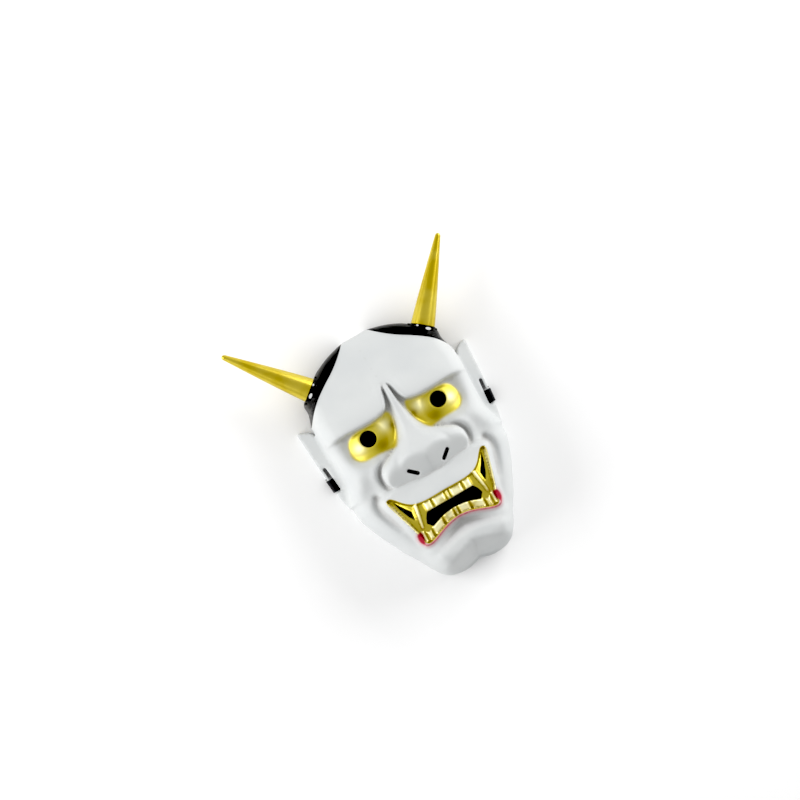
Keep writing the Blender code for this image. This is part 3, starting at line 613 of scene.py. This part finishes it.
def cheeks(x, y, z):
    """The cheekbone, the hollow below it, and the folds round the nose and outside the mouth's corner."""
    z = z + 4.0 * np.exp(-(((x - 58) / 11) ** 2) - ((y + 3) / 9) ** 2)
    z = z - 3.0 * np.exp(-(((x - 60) / 13) ** 2) - ((y + 21) / 7) ** 2)
    away, along = from_line(x, y, CORNER_FOLD)
    z = z - 5.0 * hill(away, 3.2) * (1 - 0.8 * along)
    away, along = from_line(x, y, CHEEK_FOLD)
    return z + 2.5 * hill(away, 4.0) * np.sin(np.pi * np.clip(along, 0.04, 0.96))


def muzzle(x, y, z):
    """The lips, pushed forward round the mouth and fullest along the upper one."""
    full = 7.5 - 3.5 * ramp(-y, 52, 80)
    z = z + full * ramp(depth_in(x, y, MUZZLE), -1.5, 4.5)
    return z + 5.5 * ramp(-y, 26, 49) * np.exp(-((x / 40) ** 4)) * (1 - ramp(-y, 56, 80))


def nose(x, y, z):
    """The bridge between the brows, widening to the tip, and the wings with their flat underside."""
    crest = profile(
        y,
        [(-34, 62), (-30, 67), (-26, 72), (-20, 78), (-14, 82.5), (-9, 83), (0, 79.5)]
        + [(10, 74.5), (20, 71), (31, 68.5), (42, 68), (52, 67.0), (60, 63), (72, 55)],
    )
    wide = profile(
        y,
        [(-30, 26), (-14, 30), (-4, 27), (4, 19), (13, 12)]
        + [(22, 8.8), (31, 7.2), (45, 4.8), (60, 3.0), (72, 2)],
    )
    side = x / wide
    bridge = crest - 11.0 * (np.sqrt(1 + (side * 1.35) ** 4) - 1) - 3.0 * side**2
    z = higher(z, bridge - 40 * ramp(y, 56, 76) - 60 * ramp(-y, 26, 34), 2.0)
    depth = depth_in(x, y, NOSE)
    wings = 58 + 16.0 * round_over(depth, 12) - 3.0 * ramp(x, 26, 44)
    z = higher(z, np.where(depth > 0, wings, 0), 2.5)
    rise = profile(x, [(0, 0.9), (20, 0.74), (42, 0.70)])
    under = profile(x, [(0, 67.5), (20, 64.5), (42, 61)]) + (y - profile(x, NOSE_BOTTOM)) * rise
    share = ramp(depth, -2.5, 0.5) * (1 - ramp(y, -2, 6))
    z = z + (lower(z, np.maximum(under, 61), 3.0) - z) * share
    away, along = from_line(x, y, WING_CREASE)
    return z - 4.0 * hill(away, 1.8) * np.sin(np.pi * np.clip(along, 0.08, 0.92))


def swell(depth, width):
    """A cushion: 0 at an edge, rising at a slant and level from width inside it."""
    return np.sin(np.clip(depth / width, 0, 1) * math.pi / 2)


def mouth(x, y, z):
    """The mouth sunk between the lips, with its teeth raised in it."""
    z = z - 4.2 * ramp(depth_in(x, y, MOUTH), -0.3, 1.8)
    for tooth in TEETH:
        z = z + 2.6 * swell(depth_in(x, y, tooth), 3.0)
    z = z + 2.0 * swell(depth_in(x, y, MOLARS), 2.4)
    z = z + 3.4 * swell(depth_in(x, y, FANG), 2.5)
    return z + 1.8 * hill(from_line(x, y, LOWER_LIP)[0], 1.5)


def chin(x, y, z):
    """The chin's broad ridge, the groove above it and its flat underside."""
    ridge = profile(x, CHIN_LINE)
    shoulder = round_over(depth_in(x, y, HEAD), 18)
    z = z + 8.0 * ramp(-y, 82, 94) * (1 - ramp(x, 28, 50)) * shoulder
    z = z - 4.5 * hill(y - (ridge + 16.5), 4.0) * (1 - ramp(x, 26, 42))
    past = ridge - y
    fall = np.where(past > 0, past, 0) - 1.5 * (1 - np.exp(-np.maximum(past, 0) / 1.5))
    return z - 1.3 * fall * (1 - 0.6 * ramp(x, 30, 42)) * shoulder


def height(x, y):
    """How high the outer surface stands over the floor at a place on the face."""
    x = np.abs(x)
    plain = z = hair(x, y, head(x, y))
    for feature in (brow_and_eyes, cheeks, muzzle, nose, mouth, chin):
        z = feature(x, y, z)
    depth = depth_in(x, y, HEAD)
    z = plain + (z - plain) * ramp(depth, 0, 2)
    return np.maximum(z, brim(y) - EAR_DROP * ramp(-depth, 0, 2))


def inner_height(x, y):
    """How high the hollow reaches: below all of the surface nearby, so that the wall stays thick enough."""
    lowest = height(x, y) - WALL
    for share in (0.45, 1.0):
        reach = share * INNER_REACH
        drop = WALL - (WALL - 1.0) * share**2
        for turn in np.linspace(0, 2 * math.pi, 12, endpoint=False):
            z = height(x + reach * math.cos(turn), y + reach * math.sin(turn)) - drop
            lowest = np.minimum(lowest, z)
    return lowest


def both_sides(rings):
    return [side for ring in rings for side in (ring, flipped(ring))]


HOLES = [BITE] + both_sides([PUPIL, NOSTRIL, SLOT, BITE_CORNER])


def shell_rim():
    """The mask's edge with its ears, and the thickness of the wall below each of its points."""
    parts = [(line, SIDE_WALL) for line in (CROWN_EDGE, COLLAR_EDGE, TEMPLE_EDGE[:-1])]
    parts += [(EAR_EDGE, EAR_WALL), (JAW_EDGE[1:], SIDE_WALL)]
    half = np.vstack([line for line, _ in parts])
    wall = np.concatenate([np.full(len(line), thick) for line, thick in parts])
    return mirrored(half), np.concatenate([wall, wall[-2:0:-1]])


def foot_height(x, y):
    """The wall stands on the floor, but for a notch under each ear where the strap goes in."""
    return STRAP_NOTCH * (1 - ramp(np.abs(y - STRAP_MIDDLE_Y), 7.0, 8.6)) * (np.abs(x) > 79)


def moved_in(ring, distance):
    """The outline moved inwards, by one distance or by one for each of its points."""
    x, y = ring.T
    clockwise = np.sum(x * np.roll(y, -1) - np.roll(x, -1) * y) < 0
    before, after = ring - np.roll(ring, 1, axis=0), np.roll(ring, -1, axis=0) - ring
    before /= np.hypot(*before.T)[:, None]
    after /= np.hypot(*after.T)[:, None]
    way = np.stack([before[:, 1] + after[:, 1], -(before[:, 0] + after[:, 0])], axis=1)
    way /= np.maximum(np.hypot(*way.T)[:, None], 0.3)
    return ring + way * np.reshape(distance, (-1, 1)) * (1 if clockwise else -1)


def inner_line(distance):
    """A closed line that follows the head's outline this far inside it."""
    line = moved_in(HEAD, distance)
    line = line[depth_in(*line.T, HEAD) > 0.97 * distance]
    line = line[np.hypot(*(line - np.roll(line, 1, axis=0)).T) > 0.4]
    return np.vstack([line, line[:1]])


def kept_clear(line, outline, holes, others, margin):
    """The stretches of a line that stay this far inside the outline and off the holes and other lines."""

    def is_clear(places):
        clear = depth_in(*places.T, outline) > margin
        for hole in holes:
            clear &= depth_in(*places.T, hole) < -margin
        for other in others:
            clear &= from_line(*places.T, other)[0] > margin
        return clear

    onward = np.append(is_clear((line[1:] + line[:-1]) / 2), False)
    runs = [[]]
    for point, wanted, joined in zip(line, is_clear(line), onward):
        if wanted:
            runs[-1].append(point)
        if runs[-1] and not (wanted and joined):
            runs.append([])
    return [np.array(run) for run in runs if len(run) > 1]


def spaced(ring, gap, closed=True):
    """The same line with points no further apart than the gap."""
    ends = np.vstack([ring, ring[:1]]) if closed else ring
    parts = []
    for a, b in zip(ends[:-1], ends[1:]):
        count = max(1, math.ceil(np.hypot(*(b - a)) / gap))
        parts.append(a + (b - a) * (np.arange(count) / count)[:, None])
    return np.vstack(parts if closed else parts + [ends[-1:]])


def fill_points(outline, holes, lines, spacing, zone):
    """Points on a triangular grid, mirrored in X, that keep away from the outline and the lines."""
    found, gaps = [], []
    for number, gap in enumerate(spacing):
        x = np.arange(-round(95 / gap), round(95 / gap) + 1) * gap
        y = np.arange(-125, 112, gap * math.sqrt(3) / 2)
        half_step = (np.arange(len(y)) % 2) * gap / 2
        across = x + half_step[:, None] * np.sign(x + 0.01)
        up = np.broadcast_to(y[:, None], across.shape)
        place = np.stack([across, up], axis=2).reshape(-1, 2)
        place = place[inside(*place.T, outline)]
        place = place[zone(*place.T) == number]
        found.append(place)
        gaps.append(np.full(len(place), gap))
    place, gap = np.vstack(found), np.concatenate(gaps)
    borders = [spaced(ring, gap.min()) for ring in [outline] + holes]
    borders = np.vstack(borders + [spaced(line, gap.min(), False) for line in lines])
    near = KDTree(len(borders))
    for number, point in enumerate(borders):
        near.insert((*point, 0), number)
    near.balance()
    keep = np.array([near.find((*point, 0))[2] for point in place]) > 0.6 * gap
    for hole in holes:
        keep &= ~inside(*place.T, hole)
    return place[keep]


def triangulated(outline, holes, lines, spacing, zone, margin):
    """A flat mesh: its points, its triangles, and the points of the outline and of each hole."""
    rings, placed = [outline] + holes, []
    for line in lines:
        placed += kept_clear(line, outline, holes, placed, margin)
    fill = fill_points(outline, holes, placed, spacing, zone)
    points = np.vstack(rings + placed + [fill])
    edges, start, ring_ids = [], 0, []
    for ring in rings:
        ids = list(range(start, start + len(ring)))
        edges += list(zip(ids, ids[1:] + ids[:1]))
        ring_ids.append(ids)
        start += len(ring)
    for line in placed:
        edges += [(k, k + 1) for k in range(start, start + len(line) - 1)]
        start += len(line)
    flat, _, faces, origin, _, _ = delaunay_2d_cdt([tuple(p) for p in points], edges, [], 0, 0.01)
    flat = np.array(flat)
    place = {old: new for new, olds in enumerate(origin) for old in olds}
    middle = np.array([flat[list(face)].mean(axis=0) for face in faces])
    keep = inside(*middle.T, outline)
    for hole in holes:
        keep &= ~inside(*middle.T, hole)
    triangles = [list(face) for face, wanted in zip(faces, keep) if wanted]
    return flat, triangles, [[place[k] for k in ids] for ids in ring_ids]


def closed_lines(rings):
    return [np.vstack([ring, ring[:1]]) for ring in rings]


# The middle of the red stripe on the lower lip, and the row of beads along the corner teeth
RED_LINE = curve(
    [(0, -75.6), (8, -76.7), (16.5, -78.9), (26.7, -83.0)]
    + [(34.3, -84.9), (38.4, -83.6), (39.6, -79), (39.0, -74.0)]
)
MOLAR_LINE = np.array([(49.6, -33.8), (46.2, -49.5), (39.2, -73.2)])
MOLAR_COUNT = 9
BEAD_HEIGHT = 0.5
# The rounding round each opening, and the locks that run along the hair
ROUNDING_DEPTH = 0.5
ROUNDING_WIDTH = 0.9
LOCK_WIDTH = 2.9
LOCK_DEPTH = 0.45


def mesh_zone(x, y):
    """Which of the mesh's spacings holds at a place."""
    fine = (depth_in(x, y, MOUTH) > -1.5) | (depth_in(np.abs(x), y, HAIR) > -0.5)
    busy = (np.abs(x) < 62) & (y > -92) & (y < 60)
    return np.where(fine, 0, np.where(busy, 1, 2))


def feature_lines():
    """Lines that the mesh follows, so that the edges of the features stay crisp."""
    x = np.linspace(4, 68, 60)
    brow = profile(x, BROW_LINE)
    jaw = np.linspace(0, 40, 30)
    wing = np.linspace(0, 37, 30)
    ridge = profile(wing, [(0, -14.5), (9, -12.5), (23, -10.6), (37, -10.4)])
    rings = [MOUTH, moved_in(MOUTH, 0.8), moved_in(MOUTH, 1.7), NOSE]
    rings += both_sides([moved_in(MOLARS, -0.2), FANG] + TEETH[1:3] + TEETH[4:])
    rings += [TEETH[0], TEETH[3], EYE, flipped(EYE)]
    rings += [moved_in(hole, -0.8) for hole in HOLES]
    lines = [
        np.stack([x, brow + 0.6], axis=1),
        np.stack([x, brow - 0.8], axis=1),
        np.stack([x, brow - 2.6], axis=1),
        np.stack([jaw, profile(jaw, CHIN_LINE)], axis=1),
        np.stack([wing, ridge], axis=1),
        WING_CREASE,
        CORNER_FOLD,
        HAIRLINE,
    ]
    ears = [EAR_ROOT + (off, 0) for off in (0.0, 0.5, -0.5, -1.3)]
    edges = [spaced(inner_line(depth), EDGE_SPACING, False) for depth in (0.4, 1.1, 2.2, 4.0, 6.5)]
    return closed_lines([spaced(ring, 0.9) for ring in rings]) + both_sides(lines + ears) + edges


def fine_height(x, y):
    """The outer surface with its small forms: rounded openings, locks of hair and beads on the molars."""
    z = height(x, y)
    side = np.abs(x)
    for hole in (PUPIL, NOSTRIL, SLOT, BITE_CORNER):
        z = z - ROUNDING_DEPTH * (1 - smooth(-depth_in(side, y, hole) / ROUNDING_WIDTH))
    z = z - ROUNDING_DEPTH * (1 - smooth(-depth_in(x, y, BITE) / ROUNDING_WIDTH))
    lock = depth_in(side, y, HAIR)
    strand = np.abs(np.sin(lock * math.pi / LOCK_WIDTH + 0.6 * np.sin(side / 7)))
    z = z + LOCK_DEPTH * (strand - 1) * ramp(lock, 0.8, 2.2) * ramp(depth_in(side, y, HEAD), 0.3, 2)
    off, along = from_line(side, y, MOLAR_LINE)
    bead = np.abs(np.sin(along * math.pi * MOLAR_COUNT)) - 0.5
    return z + BEAD_HEIGHT * bead * hill(off, 2.2)


def stretched(values, spaces):
    """Values given at the points of a closed line, carried to the finer points between them."""
    onward = np.roll(values, -1, axis=0)
    parts = []
    for a, b, count in zip(values, onward, spaces):
        share = (np.arange(count) / count).reshape(-1, *[1] * np.ndim(a))
        parts.append(a + (b - a) * share)
    return np.concatenate(parts)


def shell_mesh():
    """The outer surface, the hollow's surface, and the walls between them at the rim and the holes."""
    rim, wall = shell_rim()
    lengths = np.hypot(*(np.roll(rim, -1, axis=0) - rim).T)
    spaces = [max(1, math.ceil(length / EDGE_SPACING)) for length in lengths]
    hollow = stretched(moved_in(rim, wall), spaces)
    rim = stretched(rim, spaces)
    holes = [spaced(hole, EDGE_SPACING) for hole in HOLES]
    flat, outer, outer_rings = triangulated(rim, holes, feature_lines(), MESH_SPACING, mesh_zone, 0.5)
    outer_z = fine_height(*flat.T)
    sides = both_sides([EAR_ROOT - (SIDE_WALL, 0)])
    sides += [inner_line(SIDE_WALL + depth) for depth in (1.0, 3.0, 7.0)]
    flat_in, inner, inner_rings = triangulated(
        hollow, holes, sides, (INNER_SPACING,), lambda x, y: np.zeros(np.shape(x), int), 1.0
    )
    inner_z = inner_height(*flat_in.T)
    points = [*np.column_stack([flat, outer_z])]
    first_inner = len(points)
    points += [*np.column_stack([flat_in, inner_z])]
    lining = [0] * first_inner + [1] * len(flat_in)
    faces = [(0, face) for face in outer] + [(1, [k + first_inner for k in face[::-1]]) for face in inner]
    top, under = outer_rings[0], [k + first_inner for k in inner_rings[0]]
    foot = range(len(points), len(points) + len(rim))
    step = range(foot.stop, foot.stop + len(rim))
    floor_z = foot_height(*rim.T)
    points += [*np.column_stack([rim, floor_z]), *np.column_stack([hollow, floor_z])]
    lining += [0] * len(rim) + [1] * len(rim)
    for a in range(len(rim)):
        b = (a + 1) % len(rim)
        for group, chain in ((0, (top, foot)), (2, (foot, step)), (1, (step, under))):
            faces.append((group, [chain[0][a], chain[0][b], chain[1][b], chain[1][a]]))
    for out_ids, in_ids in zip(outer_rings[1:], inner_rings[1:]):
        in_ids = [k + first_inner for k in in_ids]
        for a in range(len(out_ids)):
            b = (a + 1) % len(out_ids)
            faces.append((3, [out_ids[a], out_ids[b], in_ids[b], in_ids[a]]))
    return np.array(points), faces, np.array(lining, float)


def relief(points, faces, rounds):
    """How far each point lies below the mean of its surroundings."""
    links = np.array([pair for _, face in faces for pair in zip(face, face[1:] + face[:1])])
    links = np.vstack([links, links[:, ::-1]])
    count = np.maximum(np.bincount(links[:, 0], minlength=len(points)), 1)
    level = points[:, 2].copy()
    for _ in range(rounds):
        level = np.bincount(links[:, 0], weights=level[links[:, 1]], minlength=len(points)) / count
    return level - points[:, 2]


def lip_depth(x, y):
    """How far inside the painted red of the lower lip a place lies; the stripe widens to the corners."""
    away, along = from_line(np.abs(x), y, RED_LINE)
    return 0.6 + 2.2 * ramp(along, 0.72, 0.92) - away


def tooth_front(x, y):
    """1 on the teeth's fronts, which get a painted highlight, and 0 in the gaps and on the gums."""
    side = np.abs(x)
    middles = [swell(depth_in(x, y, tooth), 2.2) for tooth in (TEETH[0], TEETH[3])]
    others = [swell(depth_in(side, y, tooth), 2.2) for tooth in TEETH[1:3] + TEETH[4:]]
    corners = [swell(depth_in(side, y, tooth), 1.8) for tooth in (FANG, MOLARS)]
    return np.max(middles + others + corners, axis=0)


def hair_streak(x, y):
    """Grey streaks along the strands over the temple, thinning out up the hair."""
    strand = np.sin(depth_in(x, y, HAIR) * math.pi / 0.75)
    return ramp(strand, -0.2, 0.9) * (1 - ramp(y, 62, 84))


def near_place(x, y, middle, reach, slim=1.0, tilt=0.0):
    """1 at a place on the face and falling softly to 0 round it, the same on both sides."""
    c, s = math.cos(math.radians(tilt)), math.sin(math.radians(tilt))
    off_x, off_y = np.abs(x) - middle[0], y - middle[1]
    return hill(np.hypot(off_x * c + off_y * s, (off_y * c - off_x * s) / slim), reach)


# Painted highlights and painted shade on the eyes, and painted glints of white by each horn's foot
EYE_HIGHLIGHT_SPOTS = (((47.0, 19.5), 5.0), ((17.5, 27.5), 5.5))
EYE_SHADES = (((28.0, 13.0), 7.0), ((11.0, 24.0), 3.5))
COLLAR_GLINT_SPOTS = (((60.9, 83.0), 2.6, 0.5, -38.0), ((53.9, 90.4), 1.2, 0.7, -38.0))
# The paints, with the colours of the painted highlights, shade and glints, and the bare black plastic
# outside and inside
WHITE_PAINT = (0.600, 0.614, 0.611)
WHITE_CLOUD = (0.568, 0.585, 0.586)
WHITE_PAINTED_SHADE = (0.48, 0.48, 0.47)
TOOTH_GOLD = (0.64, 0.53, 0.08)
TOOTH_PAINTED_HIGHLIGHT = (1.0, 0.95, 0.56)
GOLD_PAINTED_SHADE = (0.20, 0.14, 0.012)
EYE_GOLD = (0.66, 0.56, 0.08)
EYE_PAINTED_HIGHLIGHT = (0.96, 0.90, 0.48)
EYE_PAINTED_SHADE = (0.30, 0.22, 0.015)
BLUSH = (0.62, 0.20, 0.24)
LIP_RED = (0.42, 0.035, 0.060)
HAIR_BLACK = (0.005, 0.005, 0.005)
HAIR_GREY = (0.10, 0.10, 0.10)
PAINTED_GLINT_WHITE = (0.62, 0.63, 0.63)
LINING_BLACK = (0.010, 0.010, 0.011)


def make_shell():
    points, faces, lining = shell_mesh()
    made = piece_from("mask_face", points, [face for _, face in faces])
    face_outwards(made)
    groups = {frozenset(face): group for group, face in faces}
    work = bmesh.new()
    work.from_mesh(made.data)
    for edge in work.edges:
        kinds = {groups.get(frozenset(v.index for v in face.verts)) for face in edge.link_faces}
        edge.smooth = len(kinds) == 1
    work.to_mesh(made.data)
    work.free()
    x, y = points[:, 0], points[:, 1]
    side = np.abs(x)
    from_edge = depth_in(x, y, HEAD)
    stored = {
        "lining": lining,
        "hair_depth": depth_in(side, y, HAIR),
        "eye_depth": depth_in(side, y, EYE),
        "mouth_depth": depth_in(x, y, MOUTH),
        "lip_depth": lip_depth(x, y),
        "eye_painted_highlight": sum(near_place(x, y, *spot) for spot in EYE_HIGHLIGHT_SPOTS),
        "tooth": tooth_front(x, y),
        "shade": sum(near_place(x, y, *spot) for spot in EYE_SHADES),
        "painted_glint": sum(near_place(x, y, *spot) for spot in COLLAR_GLINT_SPOTS) * ramp(from_edge, 0.2, 0.7),
        "streak": hair_streak(side, y),
        "fine_relief": relief(points, faces, 2) * ramp(from_edge, 6, 12),
        "broad_relief": relief(points, faces, 12) * ramp(from_edge, 8, 16),
    }
    for name, values in stored.items():
        made.data.attributes.new(name, "FLOAT", "POINT").data.foreach_set("value", values)
    return made


def shell_finish():
    made = Finish("painted_mask_plastic", Specular_IOR_Level=0.12)
    lining = made.attribute("lining").between(0.05, 0.3)
    speckle = made.noise(380.0, 4.0)
    cloud = made.noise(22.0, 3.0)
    # Painted shade: the white is darkened where the surface lies below its surroundings, in creases and
    # hollows
    crease_shade = made.attribute("fine_relief").between(0.05, 0.8)
    hollow = made.attribute("broad_relief").between(0.3, 3.0)
    white = made.mix(WHITE_PAINT, WHITE_CLOUD, cloud.between(0.4, 0.7))
    white = made.mix(white, WHITE_PAINTED_SHADE, hollow * 0.55 + crease_shade * 0.3)
    # Painted highlight: the teeth's fronts are painted pale gold, and made less metallic there
    tooth_highlight = made.attribute("tooth") ** 1.5 * (1 - made.noise(130.0, 1.0).between(0.52, 0.72) * 0.6)
    gold = made.mix(TOOTH_GOLD, TOOTH_PAINTED_HIGHLIGHT, tooth_highlight)
    # Painted shade: the gold is darkened brown in the gaps between the teeth and the mouth's other creases
    gold = made.mix(gold, GOLD_PAINTED_SHADE, crease_shade * 0.7)
    # Painted highlights on the eyes' high spots, and painted shade in their low spots
    sprayed = made.mix(EYE_GOLD, EYE_PAINTED_HIGHLIGHT, made.attribute("eye_painted_highlight"))
    sprayed = made.mix(sprayed, EYE_PAINTED_SHADE, made.attribute("shade") * 0.75)
    spray = (speckle - 0.5) * 1.2
    eye = (made.attribute("eye_depth") + spray).between(-1.8, 1.6)
    mouth = (made.attribute("mouth_depth") + spray * 0.3).between(-0.3, 0.2)
    lip = (made.attribute("lip_depth") + spray * 0.5).between(-0.9, 0.9)
    blush = (made.attribute("lip_depth") + spray).between(-3.6, 0.4)
    hair = made.attribute("hair_depth").between(-0.15, 0.15)
    streak = made.attribute("streak") * made.noise(60.0, 3.0).between(0.3, 0.6)
    black = made.mix(HAIR_BLACK, HAIR_GREY, streak)
    # Painted glints: spots of white on the black collar by each horn's foot
    black = made.mix(black, PAINTED_GLINT_WHITE, made.attribute("painted_glint").between(0.3, 0.45))
    colour = made.mix(white, BLUSH, blush * 0.45 * (1 - mouth))
    colour = made.mix(colour, sprayed, eye)
    colour = made.mix(colour, gold, mouth)
    colour = made.mix(colour, LIP_RED, lip)
    colour = made.mix(colour, black, hair)
    colour = made.mix(colour, LINING_BLACK, lining)
    bare = (1 - hair) * (1 - lining)
    metal = (eye * 0.5).highest(mouth * (0.85 - tooth_highlight * 0.45)) * (1 - lip) * bare
    rough = 0.42 - mouth * 0.12 + eye * 0.02 - hair * 0.1 + lining * 0.2 + (speckle - 0.5) * 0.08
    made.put(Base_Color=colour, Metallic=metal * 0.95, Roughness=rough)
    made.bump(speckle * 0.6 + cloud * 0.4, 0.05)
    return made.material


shell = make_shell()
shell.data.materials.append(shell_finish())
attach(shell, "root")
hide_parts("mask_shell")

# Horns
# Two hollow gold-coated cones with a small round nub at the tip. Each is pressed onto the collar in the
# hair, and keeps the parting line of its mould along the inner edge.
HORN_TIP_HEIGHT = 36.0
HORN_RADIUS = 11.0
HORN_TIP_RADIUS = 2.2
HORN_SIDES = 64
FIT_GAP = 0.3
SEAM_TURN = math.radians(152)
SEAM_WIDTH = 0.6
SEAM_DEPTH = 0.45
HORN_GOLD = (0.74, 0.60, 0.09)
HORN_AMBER = (0.62, 0.47, 0.04)
# How far along the horn its nub starts, and how much further on it closes
NUB_START = 0.975
NUB_REACH = 0.0245


def make_horn(name, side):
    """A horn as rings along its axis, upright like the wall it stands on, with a small round end."""
    foot = np.array([*(HORN_FOOT + FIT_GAP * HORN_AXIS), HORN_FOOT_HEIGHT])
    tip = np.array([*HORN_TIP, HORN_TIP_HEIGHT])
    across = np.array([*HORN_SIDE, 0.0])
    upright = np.array([0.0, 0.0, 1.0])
    body = np.linspace(0, NUB_START, 60)
    radius = HORN_RADIUS + (HORN_TIP_RADIUS - HORN_RADIUS) * body**1.12
    nub = np.linspace(0.977, 0.9985, 7)
    nub_radius = HORN_TIP_RADIUS * np.sqrt(1 - ((nub - NUB_START) / NUB_REACH) ** 2)
    turns = np.linspace(0, 2 * math.pi, HORN_SIDES, endpoint=False)
    points = []
    for t, r in zip(np.append(body, nub), np.append(radius, nub_radius)):
        seam = SEAM_DEPTH * hill((turns - SEAM_TURN) * r, SEAM_WIDTH)
        seam = seam * (1 - ramp(t, 0.52, 0.56)) * ramp(t, 0.0, 0.02)
        ring = (r - seam)[:, None] * (np.cos(turns)[:, None] * across + np.sin(turns)[:, None] * upright)
        points.append(foot + (tip - foot) * t + ring)
    rings = len(points)
    points = np.vstack(points + [tip[None]]) * (side, 1, 1)
    faces = [list(range(HORN_SIDES))]
    for ring in range(rings - 1):
        for a in range(HORN_SIDES):
            b = (a + 1) % HORN_SIDES
            low, high = ring * HORN_SIDES, (ring + 1) * HORN_SIDES
            faces.append([low + b, low + a, high + a, high + b])
    last = (rings - 1) * HORN_SIDES
    faces += [[last + (a + 1) % HORN_SIDES, last + a, len(points) - 1] for a in range(HORN_SIDES)]
    made = piece_from(name, points, faces)
    face_outwards(made)
    made.data.set_sharp_from_angle(angle=math.radians(50))
    return made


def gold_finish():
    made = Finish("gold_coated_plastic", Metallic=1.0, Specular_IOR_Level=0.5)
    cloud = made.noise(35.0, 3.0)
    grain = made.noise(900.0, 3.0)
    made.put(Base_Color=made.mix(HORN_GOLD, HORN_AMBER, cloud.between(0.4, 0.65)))
    made.put(Roughness=0.24 + cloud * 0.06 + grain * 0.04)
    made.bump(grain, 0.008)
    return made.material


horn_gold = gold_finish()
for name, side, node in (("gold_horn_right", 1, "horn_right"), ("gold_horn_left", -1, "horn_left")):
    horn = make_horn(name, side)
    horn.data.materials.append(horn_gold)
    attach(horn, "root")
    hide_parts(node)

# Floor and studio light
# A plain pale floor. Large soft boxes stand on both sides of the mask in a pale room, as for a
# catalogue picture.
FLOOR_SIZE = 6000.0
FLOOR_COLOUR = (0.96, 0.96, 0.96)
SOFT_BOX_SIZE = (1620, 1150)
SOFT_BOX_POWER = 24.0
ROOM_LIGHT = 0.58
BLACK_LEVEL = 0.03

floor_mesh = bpy.data.meshes.new("floor")
half = FLOOR_SIZE * MM / 2
corners = [(-half, -half, 0), (half, -half, 0), (half, half, 0), (-half, half, 0)]
floor_mesh.from_pydata(corners, [], [(0, 1, 2, 3)])
floor = bpy.data.objects.new("floor", floor_mesh)
bpy.context.collection.objects.link(floor)
floor_mesh.materials.append(Finish("pale_floor", Base_Color=FLOOR_COLOUR, Roughness=0.8).material)


def soft_box(name, place):
    light = bpy.data.lights.new(name, "AREA")
    light.shape = "RECTANGLE"
    light.size, light.size_y = (edge * MM for edge in SOFT_BOX_SIZE)
    light.energy = SOFT_BOX_POWER
    box = bpy.data.objects.new(name, light)
    box.location = Vector(place) * MM
    box.rotation_euler = (-box.location).to_track_quat("-Z", "Y").to_euler()
    bpy.context.collection.objects.link(box)


soft_box("left_soft_box", (-1420, 400, 620))
soft_box("right_soft_box", (1420, 400, 620))
world = bpy.data.worlds.new("studio")
world.use_nodes = True
world.node_tree.nodes["Background"].inputs["Color"].default_value = (1.0, 1.0, 1.0, 1.0)
world.node_tree.nodes["Background"].inputs["Strength"].default_value = ROOM_LIGHT
bpy.context.scene.world = world
view = bpy.context.scene.view_settings
view.view_transform = "Standard"
view.use_curve_mapping = True
view.curve_mapping.black_level = (BLACK_LEVEL,) * 3
view.curve_mapping.update()
